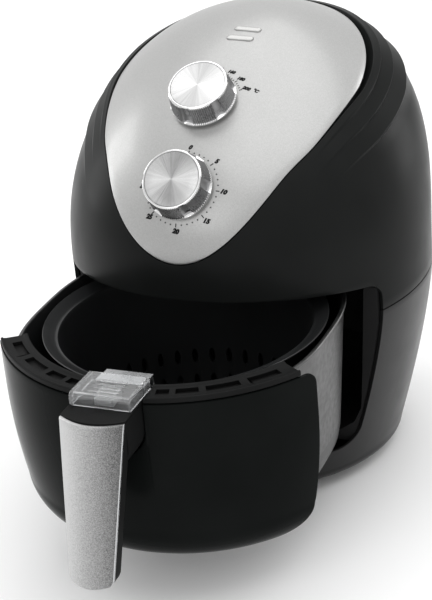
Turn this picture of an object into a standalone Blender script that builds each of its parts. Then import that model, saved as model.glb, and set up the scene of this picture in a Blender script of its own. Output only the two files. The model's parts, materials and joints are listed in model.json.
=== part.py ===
"""Egg-shaped countertop air fryer with a pull-out drawer, modelled as an assembly of separate parts.

Lengths are in millimetres in this file and are scaled to metres when a mesh is made. The body's own
axis is x = y = 0, the drawer pulls out to -Y, and the feet stand on z = 0. The drawer's parts are
written in their closed place, and an empty carries them out to the open place shown at rest.
"""

import math

import bmesh
import bpy
from mathutils import Matrix, Vector

MM = 0.001
CLEAR = 0.3            # gap between touching parts
WALL = 2.6             # wall of the plastic housings

# Driving dimensions of the body
BODY_R = 130.0         # widest radius
SEAM_Z = 141.0         # joint line between the lower and upper housings
TAPER = 31.0           # how much the lower housing narrows towards its base
BASE_Z = 8.0           # underside of the lower housing
DOME_Z = 150.0         # where the dome starts to close in
DOME_H = 172.0         # height of the dome above DOME_Z
DOME_SHIFT = 42.0      # how far the dome's crown sits behind the body's axis
NOSE = 18.0            # how far the sloped front stands out beyond a round section

# Top panel and the terraces around it
PANEL_HALF_WIDTH = 89.3
PANEL_Y = -2.0
PANEL_FRONT = 129.6
PANEL_BACK = 99.0
PANEL_T = 2.4
GUTTER_FRONT = 0.8
GUTTER_BACK = 6.5
SHELF_DROP = 5.0
TERRACE_ENDS = (6.0, 19.0, 35.0)   # distance of each terrace's edge from the rim, down the dome
TERRACE_RISE = 3.4
RIM_RISE = 1.6

# Drawer opening and travel
OPENING_Y = -57.8      # rear edge of the opening in the housing's sides
OPENING_FLOOR = 33.5
OPENING_CORNER = 15.0  # radius of its lower rear corner
OPENING_BEND = 13.0    # radius of its upper rear corner
OPENING_TOP = 150.0    # height of that corner's centre
DRAWER_TRAVEL = 122.0
REAR_EXTENT = 142.15   # rearmost point of the housing behind the body's axis
FRONT_EXTENT = 303.5   # foremost point of the handle in front of it, with the drawer open

# Pan, basket and heating chamber
PAN_HALF_WIDTH = 102.3
PAN_Y = -4.0
PAN_HALF_LENGTH = 101.0
PAN_FLOOR = 40.0
PAN_RIM = 158.7
PAN_GAP = 1.5          # gap all round between the pan and the bay that it slides into
BAY_WALL = 1.6
BAY_MOUTH_Y = -55.6
BAY_FLOOR = 34.0
BAY_TOP = 157.0
CHAMBER_Y = -3.3
BASKET_R = 86.9
BASKET_RIM = 150.8
FRONT_R = 125.6        # outer radius of the drawer's front cover
APRON_R = 119.6        # inner radius of the apron behind that cover
HEATER_RINGS = (78.0, 60.0)
HEATER_GAP = 10.0      # angle in degrees from the heater's ends to the line between them and the axis

# Motor, on the chamber's axis
MOTOR_Z = 206.3
MOTOR_R = 27.0
FAN_R = 52.0

# Underside and rear
SCREW_CIRCLE = 90.3
FOOT_OFFSET = 52.0
GLAND_Z = 45.0
GLAND_GROOVE_R = 7.2
VENT_HALF_WIDTH = 46.0
VENT_Z = (164.0, 204.0)

# Door switch, on the left of the bay's mouth
PLUNGER_X = -108.6
PLUNGER_Z = 130.0
PLUNGER_TRAVEL = 1.5

# Handle
GRIP_TOP = (-149.8, 159.0)
GRIP_BOTTOM = (-176.5, 58.7)
NOTCH_HALF_WIDTH = 22.3
NOTCH_Z = 142.0
STRAP_SCREW_X = 11.0

# Knobs
TIMER_Z = 244.6
THERMOSTAT_Z = 286.0
KNOB_R = 20.6
KNOB_H = 17.8
KNOB_FLUTES = 6
SHAFT_R = 3.1

BODY_Y = (FRONT_EXTENT - REAR_EXTENT) / 2


# ---------------------------------------------------------------- materials

def material(name, colour, roughness, metallic=0.0, alpha=1.0):
    made = bpy.data.materials.get(name)
    if made:
        return made
    made = bpy.data.materials.new(name)
    made.use_nodes = True
    made.diffuse_color = (*colour, alpha)
    shader = made.node_tree.nodes["Principled BSDF"]
    shader.inputs["Base Color"].default_value = (*colour, 1.0)
    shader.inputs["Roughness"].default_value = roughness
    shader.inputs["Metallic"].default_value = metallic
    shader.inputs["Alpha"].default_value = alpha
    return made


def black_satin():
    return material("black_satin_plastic", (0.022, 0.023, 0.024), 0.38)


def black_gloss():
    return material("black_gloss_plastic", (0.018, 0.019, 0.020), 0.16)


def dark_plastic():
    return material("dark_moulded_plastic", (0.03, 0.03, 0.032), 0.55)


def silver():
    return material("silver_lacquer", (0.78, 0.78, 0.77), 0.32, 0.7)


def spun_metal():
    return material("spun_aluminium", (0.85, 0.85, 0.86), 0.22, 1.0)


def nonstick():
    return material("nonstick_coating", (0.035, 0.035, 0.037), 0.42, 0.1)


def bright_steel():
    return material("bright_steel", (0.62, 0.63, 0.64), 0.28, 1.0)


def aluminised():
    return material("aluminised_steel", (0.66, 0.66, 0.65), 0.45, 1.0)


def light_grey():
    return material("light_grey_plastic", (0.42, 0.42, 0.42), 0.4)


def rubber():
    return material("grey_rubber", (0.05, 0.05, 0.05), 0.8)


def clear():
    return material("clear_plastic", (0.9, 0.92, 0.93), 0.06, 0.0, 0.3)


def ceramic():
    return material("white_ceramic", (0.82, 0.80, 0.76), 0.4)


def copper():
    return material("lacquered_copper", (0.55, 0.27, 0.14), 0.35, 0.9)


# ---------------------------------------------------------------- mesh helpers

def place(name, at=(0, 0, 0), parent=None, turn=None):
    """An empty, in its parent's millimetres, that carries the parts of one group."""
    empty = bpy.data.objects.new(name, None)
    bpy.context.scene.collection.objects.link(empty)
    empty.empty_display_size = 0.02
    matrix = Matrix.Translation(Vector(at) * MM)
    empty.matrix_basis = matrix @ turn.to_4x4() if turn else matrix
    empty.parent = parent
    return empty


def solid(name, loops, finish, parent, cyclic=False, origin=(0, 0, 0)):
    """A closed body through equal closed loops of points, capped at both ends unless it is cyclic."""
    mesh = bmesh.new()
    shift = Vector(origin)
    rows = [[mesh.verts.new((Vector(point) - shift) * MM) for point in loop] for loop in loops]
    pairs = list(zip(rows, rows[1:]))
    if cyclic:
        pairs.append((rows[-1], rows[0]))
    for row, following in pairs:
        for index in range(len(row)):
            nearby = (index + 1) % len(row)
            mesh.faces.new((row[index], row[nearby], following[nearby], following[index]))
    if not cyclic:
        mesh.faces.new(rows[0])
        mesh.faces.new(rows[-1])
    bmesh.ops.remove_doubles(mesh, verts=mesh.verts, dist=1e-6)
    bmesh.ops.recalc_face_normals(mesh, faces=mesh.faces)
    data = bpy.data.meshes.new(name)
    mesh.to_mesh(data)
    mesh.free()
    data.shade_smooth()
    data.set_sharp_from_angle(angle=math.radians(32))
    made = bpy.data.objects.new(name, data)
    bpy.context.scene.collection.objects.link(made)
    made.parent = parent
    if finish:
        data.materials.append(finish)
    return made


def cutter(made):
    made.hide_render = True
    made.display_type = "WIRE"
    return made


def combine(target, tool, operation="DIFFERENCE"):
    """Cuts the tool out of the target, or joins or intersects the two."""
    modifier = target.modifiers.new(tool.name, "BOOLEAN")
    modifier.operation = operation
    modifier.object = cutter(tool)
    return target


def arc(centre, radius, start, end, steps):
    """Points of a circular arc in a plane, with its angles in degrees."""
    points = []
    for step in range(steps + 1):
        angle = math.radians(start + (end - start) * step / steps)
        points.append((centre[0] + radius * math.cos(angle), centre[1] + radius * math.sin(angle)))
    return points


def ring(radius, z, count=48, centre=(0, 0)):
    return [(x, y, z) for x, y in arc(centre, radius, 0, 360, count)[:-1]]


def ring_y(centre, radius, y, count):
    """A circle in the XZ plane."""
    return [(x, y, z) for x, z in arc(centre, radius, 0, 360, count)[:-1]]


def turned(name, profile, finish, parent, centre=(0, 0), count=48, origin=(0, 0, 0)):
    """A closed (radius, z) profile turned about a vertical axis; radius 0 closes it on the axis."""
    on_axis = profile[0][0] == 0
    loops = [ring(max(radius, 1e-4), z, count, centre) for radius, z in profile]
    return solid(name, loops, finish, parent, not on_axis, origin)


def along_x(name, outline, half_width, finish, parent, origin=(0, 0, 0)):
    """An outline of (y, z) points extruded both ways along X."""
    loops = [[(x, y, z) for y, z in outline] for x in (-half_width, half_width)]
    return solid(name, loops, finish, parent, False, origin)


def along_y(name, outline, low, high, finish, parent, origin=(0, 0, 0)):
    """An outline of (x, z) points extruded along Y."""
    loops = [[(x, y, z) for x, z in outline] for y in (low, high)]
    return solid(name, loops, finish, parent, False, origin)


def along_z(name, outline, low, high, finish, parent, origin=(0, 0, 0)):
    """An outline of (x, y) points extruded along Z."""
    loops = [[(x, y, z) for x, y in outline] for z in (low, high)]
    return solid(name, loops, finish, parent, False, origin)


def box(name, low, high, finish, parent, radius=0.6, origin=(0, 0, 0)):
    """A block between two corners, with its upright edges rounded."""
    outline = rounded(low[0], high[0], low[1], high[1], radius)
    return along_z(name, outline, low[2], high[2], finish, parent, origin)


def rounded(left, right, low, high, radius, steps=3):
    """The outline of a rectangle with rounded corners."""
    corners = ((right, low, -90), (right, high, 0), (left, high, 90), (left, low, 180))
    points = []
    for x, y, start in corners:
        centre = (x - math.copysign(radius, x - (left + right) / 2),
                  y - math.copysign(radius, y - (low + high) / 2))
        points += arc(centre, radius, start, start + 90, steps)
    return points


def capsule(half_length, radius, steps=8):
    """The outline of a slot with round ends, along X."""
    reach = half_length - radius
    return arc((reach, 0), radius, -90, 90, steps) + arc((-reach, 0), radius, 90, 270, steps)


# ---------------------------------------------------------------- body surfaces

def lower_radius(z):
    """Radius of the bowl-shaped lower housing at a height."""
    return BODY_R - TAPER * max(0.0, 1 - z / SEAM_Z) ** 1.35


def dome_section(z):
    """Radius, backward shift and front bulge of the dome at a height."""
    height = min(max((z - DOME_Z) / DOME_H, 0.0), 1.0)
    radius = BODY_R * (1 - height ** 3) ** 0.534
    return radius, DOME_SHIFT * height ** 2 * (3 - 2 * height), NOSE * math.sin(math.pi * height) ** 1.8


def dome_point(azimuth, z):
    """A point of the dome at an azimuth in degrees, 0 at the front, turning towards +X."""
    radius, shift, bulge = dome_section(z)
    angle = math.radians(azimuth)
    reach = radius + (bulge if math.cos(angle) > 0 else 0.0)
    return Vector((radius * math.sin(angle), shift - reach * math.cos(angle), z))


def dome_normal(azimuth, z):
    """The dome's outward normal, from two short steps along the surface."""
    z = min(z, DOME_Z + DOME_H - 1.5)
    around = dome_point(azimuth + 0.5, z) - dome_point(azimuth - 0.5, z)
    upward = dome_point(azimuth, z + 0.5) - dome_point(azimuth, z - 0.5)
    return around.cross(upward).normalized()


def panel_reach(point):
    """Below 1 inside the panel's egg-shaped plan outline and above 1 outside it."""
    across = abs(point.x) / PANEL_HALF_WIDTH
    if point.y < PANEL_Y:
        return across ** 2.5 + ((PANEL_Y - point.y) / PANEL_FRONT) ** 1.47
    return across ** 2 + ((point.y - PANEL_Y) / PANEL_BACK) ** 2


def panel_edge_z(azimuth):
    """Height at which the dome, followed up one azimuth, meets the panel's outline."""
    low, high = 190.0, DOME_Z + DOME_H
    for _ in range(40):
        middle = (low + high) / 2
        if panel_reach(dome_point(azimuth, middle)) > 1:
            low = middle
        else:
            high = middle
    return low


def ease(value, start, end):
    """0 before start, 1 after end and a smooth step between them."""
    part = min(max((value - start) / (end - start), 0.0), 1.0)
    return part * part * (3 - 2 * part)


def backness(azimuth):
    """0 at the sides of the panel's front and 1 round the back, where gutter and terraces are full."""
    return ease(abs((azimuth + 180) % 360 - 180), 48, 92)


def column(azimuth, low_z, steps=60):
    """The dome's line at one azimuth from the panel's edge down to a height, with its lengths."""
    top = panel_edge_z(azimuth)
    points = []
    for step in range(steps + 1):
        points.append(dome_point(azimuth, top + (low_z - top) * step / steps))
    lengths = [0.0]
    for first, second in zip(points, points[1:]):
        lengths.append(lengths[-1] + (second - first).length)
    return points, lengths


def height_at(points, lengths, distance):
    """Height of the point that lies a distance down a column."""
    for index in range(len(lengths) - 1):
        if lengths[index + 1] >= distance:
            share = (distance - lengths[index]) / (lengths[index + 1] - lengths[index])
            return points[index].z + (points[index + 1].z - points[index].z) * share
    return points[-1].z


def terrace_lift(distance, gutter, full):
    """How far the dome is raised at a distance from the panel: each terrace climbs to its edge."""
    start, low = 0.0, RIM_RISE
    for end in TERRACE_ENDS:
        if distance - gutter <= end:
            return full * (low + (TERRACE_RISE - low) * (distance - gutter - start) / (end - start))
        start, low = end, 0.0
    return 0.0


def housing_section(azimuth):
    """The upper housing's wall at one azimuth: terraced outside, rim, panel shelf and inside."""
    points, lengths = column(azimuth, SEAM_Z + CLEAR)
    full = backness(azimuth)
    gutter = GUTTER_FRONT + (GUTTER_BACK - GUTTER_FRONT) * full
    stops = [gutter]
    for end in TERRACE_ENDS:
        stops += [gutter + end - 0.01, gutter + end + 1.2]
    rest = lengths[-1] - stops[-1]
    stops += [stops[-1] + rest * share for share in (0.15, 0.32, 0.5, 0.7, 1.0)]
    outside = []
    for stop in stops:
        z = height_at(points, lengths, stop)
        lift = terrace_lift(stop, gutter, full)
        outside.append(dome_point(azimuth, z) + dome_normal(azimuth, z) * lift)
    rim_z = height_at(points, lengths, gutter)
    top_z = points[0].z
    rim = dome_point(azimuth, rim_z)
    drop = dome_normal(azimuth, rim_z) * (PANEL_T + 1.2 + SHELF_DROP * full)
    under = dome_normal(azimuth, rim_z) * WALL
    shelf = panel_inset(azimuth, top_z, 7.0) - drop
    inner = [shelf, shelf - under, rim - drop - under]
    for stop in stops[6::2]:
        z = height_at(points, lengths, stop)
        inner.append(dome_point(azimuth, z) - dome_normal(azimuth, z) * WALL)
    z = SEAM_Z + CLEAR
    inner.append(dome_point(azimuth, z) - dome_normal(azimuth, z) * WALL)
    return list(reversed(outside)) + [rim - drop] + inner


def panel_inset(azimuth, top_z, distance):
    """A point of the dome's surface a distance inside the panel's edge."""
    here = dome_point(azimuth, top_z)
    crown = dome_point(azimuth, top_z + 1.5)
    return here + (crown - here).normalized() * distance


def panel_ring(azimuths, share, depth):
    """One ring of the panel: share 0 is its edge and 1 its crown, depth is below the surface."""
    loop = []
    top = DOME_Z + DOME_H
    for azimuth in azimuths:
        z = top - (top - panel_edge_z(azimuth)) * (1 - share) ** 1.6
        loop.append(dome_point(azimuth, z) - dome_normal(azimuth, z) * depth)
    return loop


def dome_frame(azimuth, z):
    """Turn whose Z is the dome's outward normal and whose Y points up the slope."""
    normal = dome_normal(azimuth, z)
    across = Vector((0, 0, 1)).cross(normal).normalized()
    return Matrix((across, normal.cross(across), normal)).transposed()


def dome_place(x, y):
    """Azimuth and height of the dome's point above a plan position."""
    low, high = 200.0, DOME_Z + DOME_H - 0.5
    for _ in range(60):
        z = (low + high) / 2
        radius, shift, bulge = dome_section(z)
        length = radius + (bulge if y < shift else 0.0)
        outside = math.hypot(x / radius, (y - shift) / length) > 1
        low, high = (low, z) if outside else (z, high)
    return math.degrees(math.atan2(x / radius, (shift - y) / length)), z


# ---------------------------------------------------------------- housing

def opening_outline():
    """Side view (y, z) of the drawer opening; its top climbs towards the front."""
    outline = [(-210.0, OPENING_FLOOR)]
    outline += arc((OPENING_Y - OPENING_CORNER, OPENING_FLOOR + OPENING_CORNER), OPENING_CORNER, -90, 0, 6)
    outline += arc((OPENING_Y - OPENING_BEND, OPENING_TOP), OPENING_BEND, 0, 82, 6)
    return outline + [(-136.0, 172.6), (-210.0, 182.0)]


def upper_housing(parent):
    azimuths = [7.5 * step for step in range(48)]
    made = solid("upper_housing", [housing_section(azimuth) for azimuth in azimuths],
                 black_satin(), parent, cyclic=True)
    combine(made, along_x("upper_opening_cut", opening_outline(), 170.0, None, parent))
    window = rounded(-VENT_HALF_WIDTH, VENT_HALF_WIDTH, *VENT_Z, 1.2)
    return combine(made, along_y("vent_window_cut", window, 100.0, 160.0, None, parent))


def top_panel(parent, lenses):
    azimuths = [7.5 * step for step in range(48)]
    rings = [panel_ring(azimuths, share, 0.0) for share in (0.93, 0.68, 0.45, 0.25, 0.08)]
    rings += [panel_ring(azimuths, 0.0, depth) for depth in (0.5, PANEL_T)]
    rings += [panel_ring(azimuths, share, PANEL_T) for share in (0.08, 0.25, 0.6, 0.93)]
    made = solid("top_panel", rings, silver(), parent)
    for label, z in (("timer", TIMER_Z), ("thermostat", THERMOSTAT_Z)):
        carrier = place(f"{label}_hole_axis", dome_point(0, z), parent, dome_frame(0, z))
        combine(made, along_z(f"{label}_hole_cut", arc((0, 0), 4.4, 0, 360, 16)[:-1],
                              -8.0, 5.0, None, carrier))
    for label, carrier in lenses:
        combine(made, along_z(f"{label}_slot_cut", capsule(9.9, 2.9), -8.0, 5.0, None, carrier))
    return made


def lens_carriers(parent):
    """Named empties on the panel's surface where the two indicator lenses sit."""
    carriers = []
    for label, x, y in (("power_lens", 9.0, 3.8), ("heating_lens", 6.9, -6.5)):
        azimuth, z = dome_place(x, y)
        normal = dome_normal(azimuth, z)
        upward = normal.cross(Vector((1, 0, 0))).normalized()
        turn = Matrix((upward.cross(normal), upward, normal)).transposed()
        carriers.append((label, place(f"{label}_place", dome_point(azimuth, z), parent, turn)))
    return carriers


def indicator_lights(lenses):
    for label, carrier in lenses:
        along_z(label, capsule(9.5, 2.5), -3.2, 0.9, clear(), carrier)
        box(f"{label}_lamp", (-7.0, -2.2, -9.0), (7.0, 2.2, -3.6), ceramic(), carrier)


def lower_housing(parent):
    heights = (16, 28, 45, 65, 90, 115, SEAM_Z - CLEAR)
    outside = [(lower_radius(z), z) for z in heights]
    foot = (outside[0][0] - 8.0, BASE_Z + 8.0)
    corner = arc(foot, 8.0, -80, 0, 4)
    inside = [(radius - WALL, z) for radius, z in reversed(outside[1:])]
    floor = [(foot[0] + 3.6, 16.0), (foot[0] - 0.6, BASE_Z + WALL), (88.0, BASE_Z + WALL), (88.0, BASE_Z)]
    profile = corner + outside[1:] + inside + floor
    made = turned("lower_housing", profile, black_satin(), parent, count=48)
    combine(made, along_x("lower_opening_cut", opening_outline(), 170.0, None, parent))
    for index, (x, y) in enumerate(screw_places()):
        combine(made, turned(f"housing_screw_hole_{index + 1}", [(0, 4.0), (2.0, 4.0), (2.0, 14.0),
                             (0, 14.0)], None, parent, (x, y), 12))
    hole = arc((0, GLAND_Z), GLAND_GROOVE_R + 0.4, 0, 360, 24)[:-1]
    return combine(made, along_y("gland_hole_cut", hole, 95.0, 125.0, None, parent))


def screw_places():
    """Plan positions of the four screws that hold the base plate."""
    return arc((0, 0), SCREW_CIRCLE, 45, 315, 3)


def base(parent):
    plate = turned("base_plate", [(0, 10.9), (92.6, 10.9), (92.6, 13.2), (0, 13.2)],
                   dark_plastic(), parent, count=48)
    for index in range(6):
        angle = math.radians(60 * index)
        slot = [(x + 42.0, y) for x, y in capsule(20.0, 2.6, 5)]
        outline = [(x * math.cos(angle) - y * math.sin(angle), x * math.sin(angle) + y * math.cos(angle))
                   for x, y in slot]
        combine(plate, along_z(f"intake_slot_{index + 1}", outline, 5.0, 20.0, None, parent))
    for index, (x, y) in enumerate(screw_places()):
        combine(plate, turned(f"plate_screw_hole_{index + 1}", [(0, 9.0), (2.0, 9.0), (2.0, 16.0),
                              (0, 16.0)], None, parent, (x, y), 12))
        turned(f"base_screw_{index + 1}", [(0, 5.9), (3.4, 5.9), (3.4, 7.7), (1.6, 7.7), (1.6, 18.0),
               (0, 18.0)], bright_steel(), parent, (x, y), 10)
    for x_side, x_word in ((-1, "left"), (1, "right")):
        for y_side, y_word in ((-1, "front"), (1, "rear")):
            turned(f"foot_{y_word}_{x_word}", [(0, 0), (9.0, 0), (10.0, 1.2), (8.6, 10.5), (0, 10.5)],
                   rubber(), parent, (FOOT_OFFSET * x_side, FOOT_OFFSET * y_side), 18)


def pan_loop(scale, z, extra=0.0, count=52):
    """The pan's plan outline, a rounded square, scaled about its centre and let out by a margin."""
    loop = []
    for x, y in arc((0, 0), 1, -90, 270, count)[:-1]:
        power = 3.0 if y < 0 else 2.6
        reach = (abs(x) ** power + abs(y) ** power) ** (-1 / power)
        loop.append((x * reach * (PAN_HALF_WIDTH * scale + extra),
                     PAN_Y + y * reach * (PAN_HALF_LENGTH * scale + extra), z))
    return loop


def pan_scale(z):
    """How much narrower the pan is at a height than at its rim."""
    return 1 - 0.055 * (PAN_RIM - z) / 73.7 - 0.2 * max(0.0, (66 - z) / 26) ** 3


def tub(name, shape, heights, extra, wall, finish, parent, rim=()):
    """A tub of the pan's section: outside rings going up, a rim, and inside rings going down."""
    outer = [shape(pan_scale(z), z, extra) for z in heights]
    inner = [shape(pan_scale(z), z, extra - wall) for z in heights[1:]]
    floor = [shape(pan_scale(heights[0]), heights[0] + wall, extra - wall * 1.5)]
    return solid(name, outer + list(rim) + list(reversed(inner)) + floor, finish, parent)


def bay_loop(scale, z, extra):
    """The pan's outline let out by a margin, with straight sides in front that the pan slides along."""
    reach_y = 75.0
    half = PAN_HALF_WIDTH * scale + extra
    loop = []
    for x, y, _ in pan_loop(scale, z, extra):
        if y < PAN_Y:
            reach = min(half / max(abs(x), 1e-6), reach_y / (PAN_Y - y))
            x, y = x * reach, PAN_Y + (y - PAN_Y) * reach
        loop.append((x, y, z))
    return loop


def bay_flange(parent):
    """The wall at the bay's mouth that closes the gap to the housing, as a solid for a union."""
    profile = [(0, 26.0)] + [(lower_radius(z) - WALL - 0.5, z) for z in (26, 40, 55, 75, 100, 130)]
    profile += [(BODY_R - WALL - 1.0, BAY_TOP), (0, BAY_TOP)]
    flange = turned("bay_flange", profile, None, parent, count=48)
    back, front = BAY_MOUTH_Y + 0.6, BAY_MOUTH_Y - 1.4
    slab = along_x("bay_flange_slab", [(front, BAY_FLOOR), (back, BAY_FLOOR), (back, BAY_TOP),
                                       (front, BAY_TOP)], 140.0, None, parent)
    combine(flange, slab, "INTERSECT")
    inside = [bay_loop(pan_scale(z), z, PAN_GAP) for z in (36.0, 38.0, 40.0, 43.0, 50.0, 62.0, 90.0)]
    inside.append(bay_loop(pan_scale(BAY_TOP), BAY_TOP + 13.0, PAN_GAP))
    return combine(flange, solid("bay_cavity_cut", inside, None, parent))


def drawer_bay(parent):
    """The liner that the pan slides into, its glide rails, and the hole for the door plunger."""
    heights = (BAY_FLOOR, 38.0, 40.0, 43.0, 50.0, 62.0, 90.0, BAY_TOP)
    made = tub("drawer_bay", bay_loop, heights, PAN_GAP + BAY_WALL, BAY_WALL, dark_plastic(), parent)
    mouth = along_x("bay_mouth_cut", [(-150.0, 20.0), (BAY_MOUTH_Y, 20.0), (BAY_MOUTH_Y, 175.0),
                                      (-150.0, 175.0)], 140.0, None, parent)
    combine(made, mouth)
    combine(made, bay_flange(parent), "UNION")
    hole = arc((PLUNGER_X, PLUNGER_Z), 1.6, 0, 360, 12)[:-1]
    combine(made, along_y("plunger_hole_cut", hole, -62.0, -50.0, None, parent))
    for side, word in ((-1, "left"), (1, "right")):
        low, high = sorted((38.0 * side, 46.0 * side))
        box(f"glide_rail_{word}", (low, -40.0, 36.3), (high, 32.0, PAN_FLOOR - CLEAR), ceramic(), parent)


def rear_fittings(parent):
    """Exhaust grille, cord gland, and the terminal block behind them."""
    half_angle = 20.2
    loops = []
    for step in range(9):
        azimuth = 180 - half_angle + 2 * half_angle * step / 8
        heights = [VENT_Z[0] + 0.7 + (VENT_Z[1] - VENT_Z[0] - 1.4) * part / 3 for part in range(4)]
        outer = [dome_point(azimuth, z) for z in heights]
        inner = [dome_point(azimuth, z) - dome_normal(azimuth, z) * WALL for z in reversed(heights)]
        loops.append(outer + inner)
    grille = solid("rear_vent_grille", loops, dark_plastic(), parent)
    for index in range(5):
        slot = rounded(-36.0, 36.0, 169.0 + 6.8 * index, 172.2 + 6.8 * index, 1.4, 2)
        combine(grille, along_y(f"vent_slot_{index + 1}", slot, 110.0, 150.0, None, parent))
    gland = [(3.6, 99.0), (9.2, 99.0), (9.2, 105.4), (GLAND_GROOVE_R, 105.4), (GLAND_GROOVE_R, 114.4),
             (9.6, 114.4), (8.2, 124.0), (3.6, 124.0)]
    loops = []
    for distance, y in gland:
        loops.append(ring_y((0, GLAND_Z), distance, y, 18))
    solid("cord_gland", loops, rubber(), parent, cyclic=True)
    box("terminal_block", (-14.0, 99.5, 62.0), (14.0, 108.5, 76.0), ceramic(), parent)


# ---------------------------------------------------------------- heating chamber

def heating_chamber(parent):
    centre = (0, CHAMBER_Y)
    turned("chamber_frame", [(101.0, 176.0), (123.5, 176.0), (123.5, 178.4), (101.0, 178.4)],
           dark_plastic(), parent, (0, 0.5), 40)
    reflector = turned("heat_reflector", [
        (96.0, 166.0), (96.0, 178.8), (104.0, 178.8), (104.0, 180.0), (96.0, 180.0), (94.0, 192.0),
        (86.0, 200.0), (8.0, 200.0), (8.0, 198.8), (85.4, 198.8), (92.8, 191.4), (94.8, 179.0),
        (94.8, 166.0)], aluminised(), parent, centre, 32)
    for index, (x, y) in enumerate(heater_ends()):
        combine(reflector, turned(f"terminal_hole_{index + 1}", [(0, 190.0), (5.0, 190.0), (5.0, 210.0),
                                  (0, 210.0)], None, parent, (x, y + CHAMBER_Y), 12))
    guard = turned("heater_guard", [(0, 167.0), (93.8, 167.0), (93.8, 168.2), (0, 168.2)],
                   bright_steel(), parent, centre, 32)
    places = [(0, 0)] + arc((0, 0), 34.0, 0, 360, 6)[:-1] + arc((0, 0), 68.0, 15, 375, 12)[:-1]
    combine(guard, pegs("guard_holes", places, 13.0, 160.0, 172.0, parent, centre, 6))
    heating_element(parent)
    turned("motor_bracket", [(8.0, 204.0), (8.0, 206.0), (44.0, 206.0), (44.0, 200.3), (41.6, 200.3),
           (41.6, 204.0)], bright_steel(), parent, centre, 32)
    turned("motor_body", [(3.7, MOTOR_Z), (MOTOR_R, MOTOR_Z), (MOTOR_R, MOTOR_Z + 33.7),
           (9.0, MOTOR_Z + 33.7), (9.0, MOTOR_Z + 36.7), (3.7, MOTOR_Z + 36.7)], copper(), parent, centre, 28)
    box("thermal_fuse", (-66.0, 10.0, 200.4), (-52.0, 17.0, 206.0), ceramic(), parent, 2.0)
    rotor(parent)


def heater_ends():
    """Plan positions, about the chamber's axis, of the heater's two upright ends."""
    angle = math.radians(HEATER_GAP)
    return [(radius * math.cos(angle), radius * math.sin(angle)) for radius in HEATER_RINGS]


def heating_element(parent):
    """The sheathed heater: two rings joined by a hairpin bend, whose ends rise through the reflector."""
    outer, inner = HEATER_RINGS
    first, last = heater_ends()
    flat = arc((0, 0), outer, HEATER_GAP, 360 - HEATER_GAP, 22)
    flat += arc((0, 0), inner, 360 - HEATER_GAP, HEATER_GAP, 18)
    path = [Vector((*first, 212.0)), Vector((*first, 179.0))]
    path += [Vector((x, y, 174.6)) for x, y in flat[1:-1]]
    path += [Vector((*last, 179.0)), Vector((*last, 212.0))]
    loops = []
    across = Vector((1, 0, 0))
    for index, point in enumerate(path):
        along = (path[min(index + 1, len(path) - 1)] - path[max(index - 1, 0)]).normalized()
        across = (across - along * across.dot(along)).normalized()
        upward = across.cross(along)
        loop = []
        for x, y in arc((0, 0), 3.2, 0, 360, 6)[:-1]:
            here = point + across * x + upward * y
            loop.append((here.x, here.y + CHAMBER_Y, here.z))
        loops.append(loop)
    solid("heating_element", loops, bright_steel(), parent)


def fan(name, hub, tip, low, high, finish, parent):
    """A flat-bladed impeller: a hub with eight radial blades and a bore for the shaft."""
    steps = 6
    count = 8 * steps
    outer, inner = [], []
    for step in range(count):
        angle = 2 * math.pi * (step + 0.5 * (step % steps == 0)) / count
        radius = tip if step % steps in (0, 1) else hub
        outer.append((radius * math.cos(angle), radius * math.sin(angle)))
        inner.append((3.6 * math.cos(angle), 3.6 * math.sin(angle)))
    loops = [[(x, y, z) for x, y in points] for points, z in
             ((outer, low), (outer, high), (inner, high), (inner, low))]
    return solid(name, loops, finish, parent, cyclic=True)


def rotor(parent):
    """Motor shaft with the air fan below the motor and its own cooling fan above it."""
    axis = place("motor_axis", (0, CHAMBER_Y, 0), parent)
    turned("motor_shaft", [(0, 183.0), (3.2, 183.0), (3.2, 262.0), (0, 262.0)], bright_steel(), axis,
           count=16)
    fan("circulation_fan", 11.0, FAN_R, 185.0, 195.5, aluminised(), axis)
    fan("cooling_fan", 9.0, 35.0, 246.0, 254.0, dark_plastic(), axis)


# ---------------------------------------------------------------- controls

def knob(label, z, setback, body, depth, parent):
    """One control: a mechanism behind the panel, and a knob with its shaft on the same axis."""
    carrier = place(f"{label}_place", dome_point(0, z), parent, dome_frame(0, z))
    turned(f"{label}_mechanism", [(0, -setback - depth), (body, -setback - depth), (body, -setback),
           (3.5, -setback), (3.5, -setback - 8.0), (0, -setback - 8.0)], bright_steel(), carrier, count=24)
    axis = place(f"{label}_axis", (0, 0, 0), carrier)
    turned(f"{label}_shaft", [(0, -setback - 7.6), (SHAFT_R, -setback - 7.6), (SHAFT_R, 10.0), (0, 10.0)],
           bright_steel(), axis, count=16)
    count = 48
    loops = []
    for share, height, groove in ((1.12, 1.6, 0.0), (1.12, 4.0, 0.0), (1.02, 5.0, 0.9),
                                  (1.0, KNOB_H - 1.2, 0.9), (0.97, KNOB_H, 0.0)):
        loop = []
        for step in range(count):
            angle = 2 * math.pi * step / count
            radius = KNOB_R * share - groove * max(0.0, math.cos(KNOB_FLUTES * angle)) ** 2
            loop.append((radius * math.cos(angle), radius * math.sin(angle), height))
        loops.append(loop)
    loops += [ring(radius, height, count) for radius, height in (
        (18.9, KNOB_H), (18.9, KNOB_H - 1.4), (1e-4, KNOB_H - 1.4), (1e-4, 10.4), (3.4, 10.4),
        (3.4, 1.6))]
    solid(f"{label}_knob", loops, spun_metal(), axis, cyclic=True)
    turned(f"{label}_knob_cap", [(0, KNOB_H - 1.1), (18.6, KNOB_H - 1.1), (18.6, KNOB_H - 0.2),
           (0, KNOB_H - 0.2)], spun_metal(), axis, count=36)
    return carrier


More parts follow.
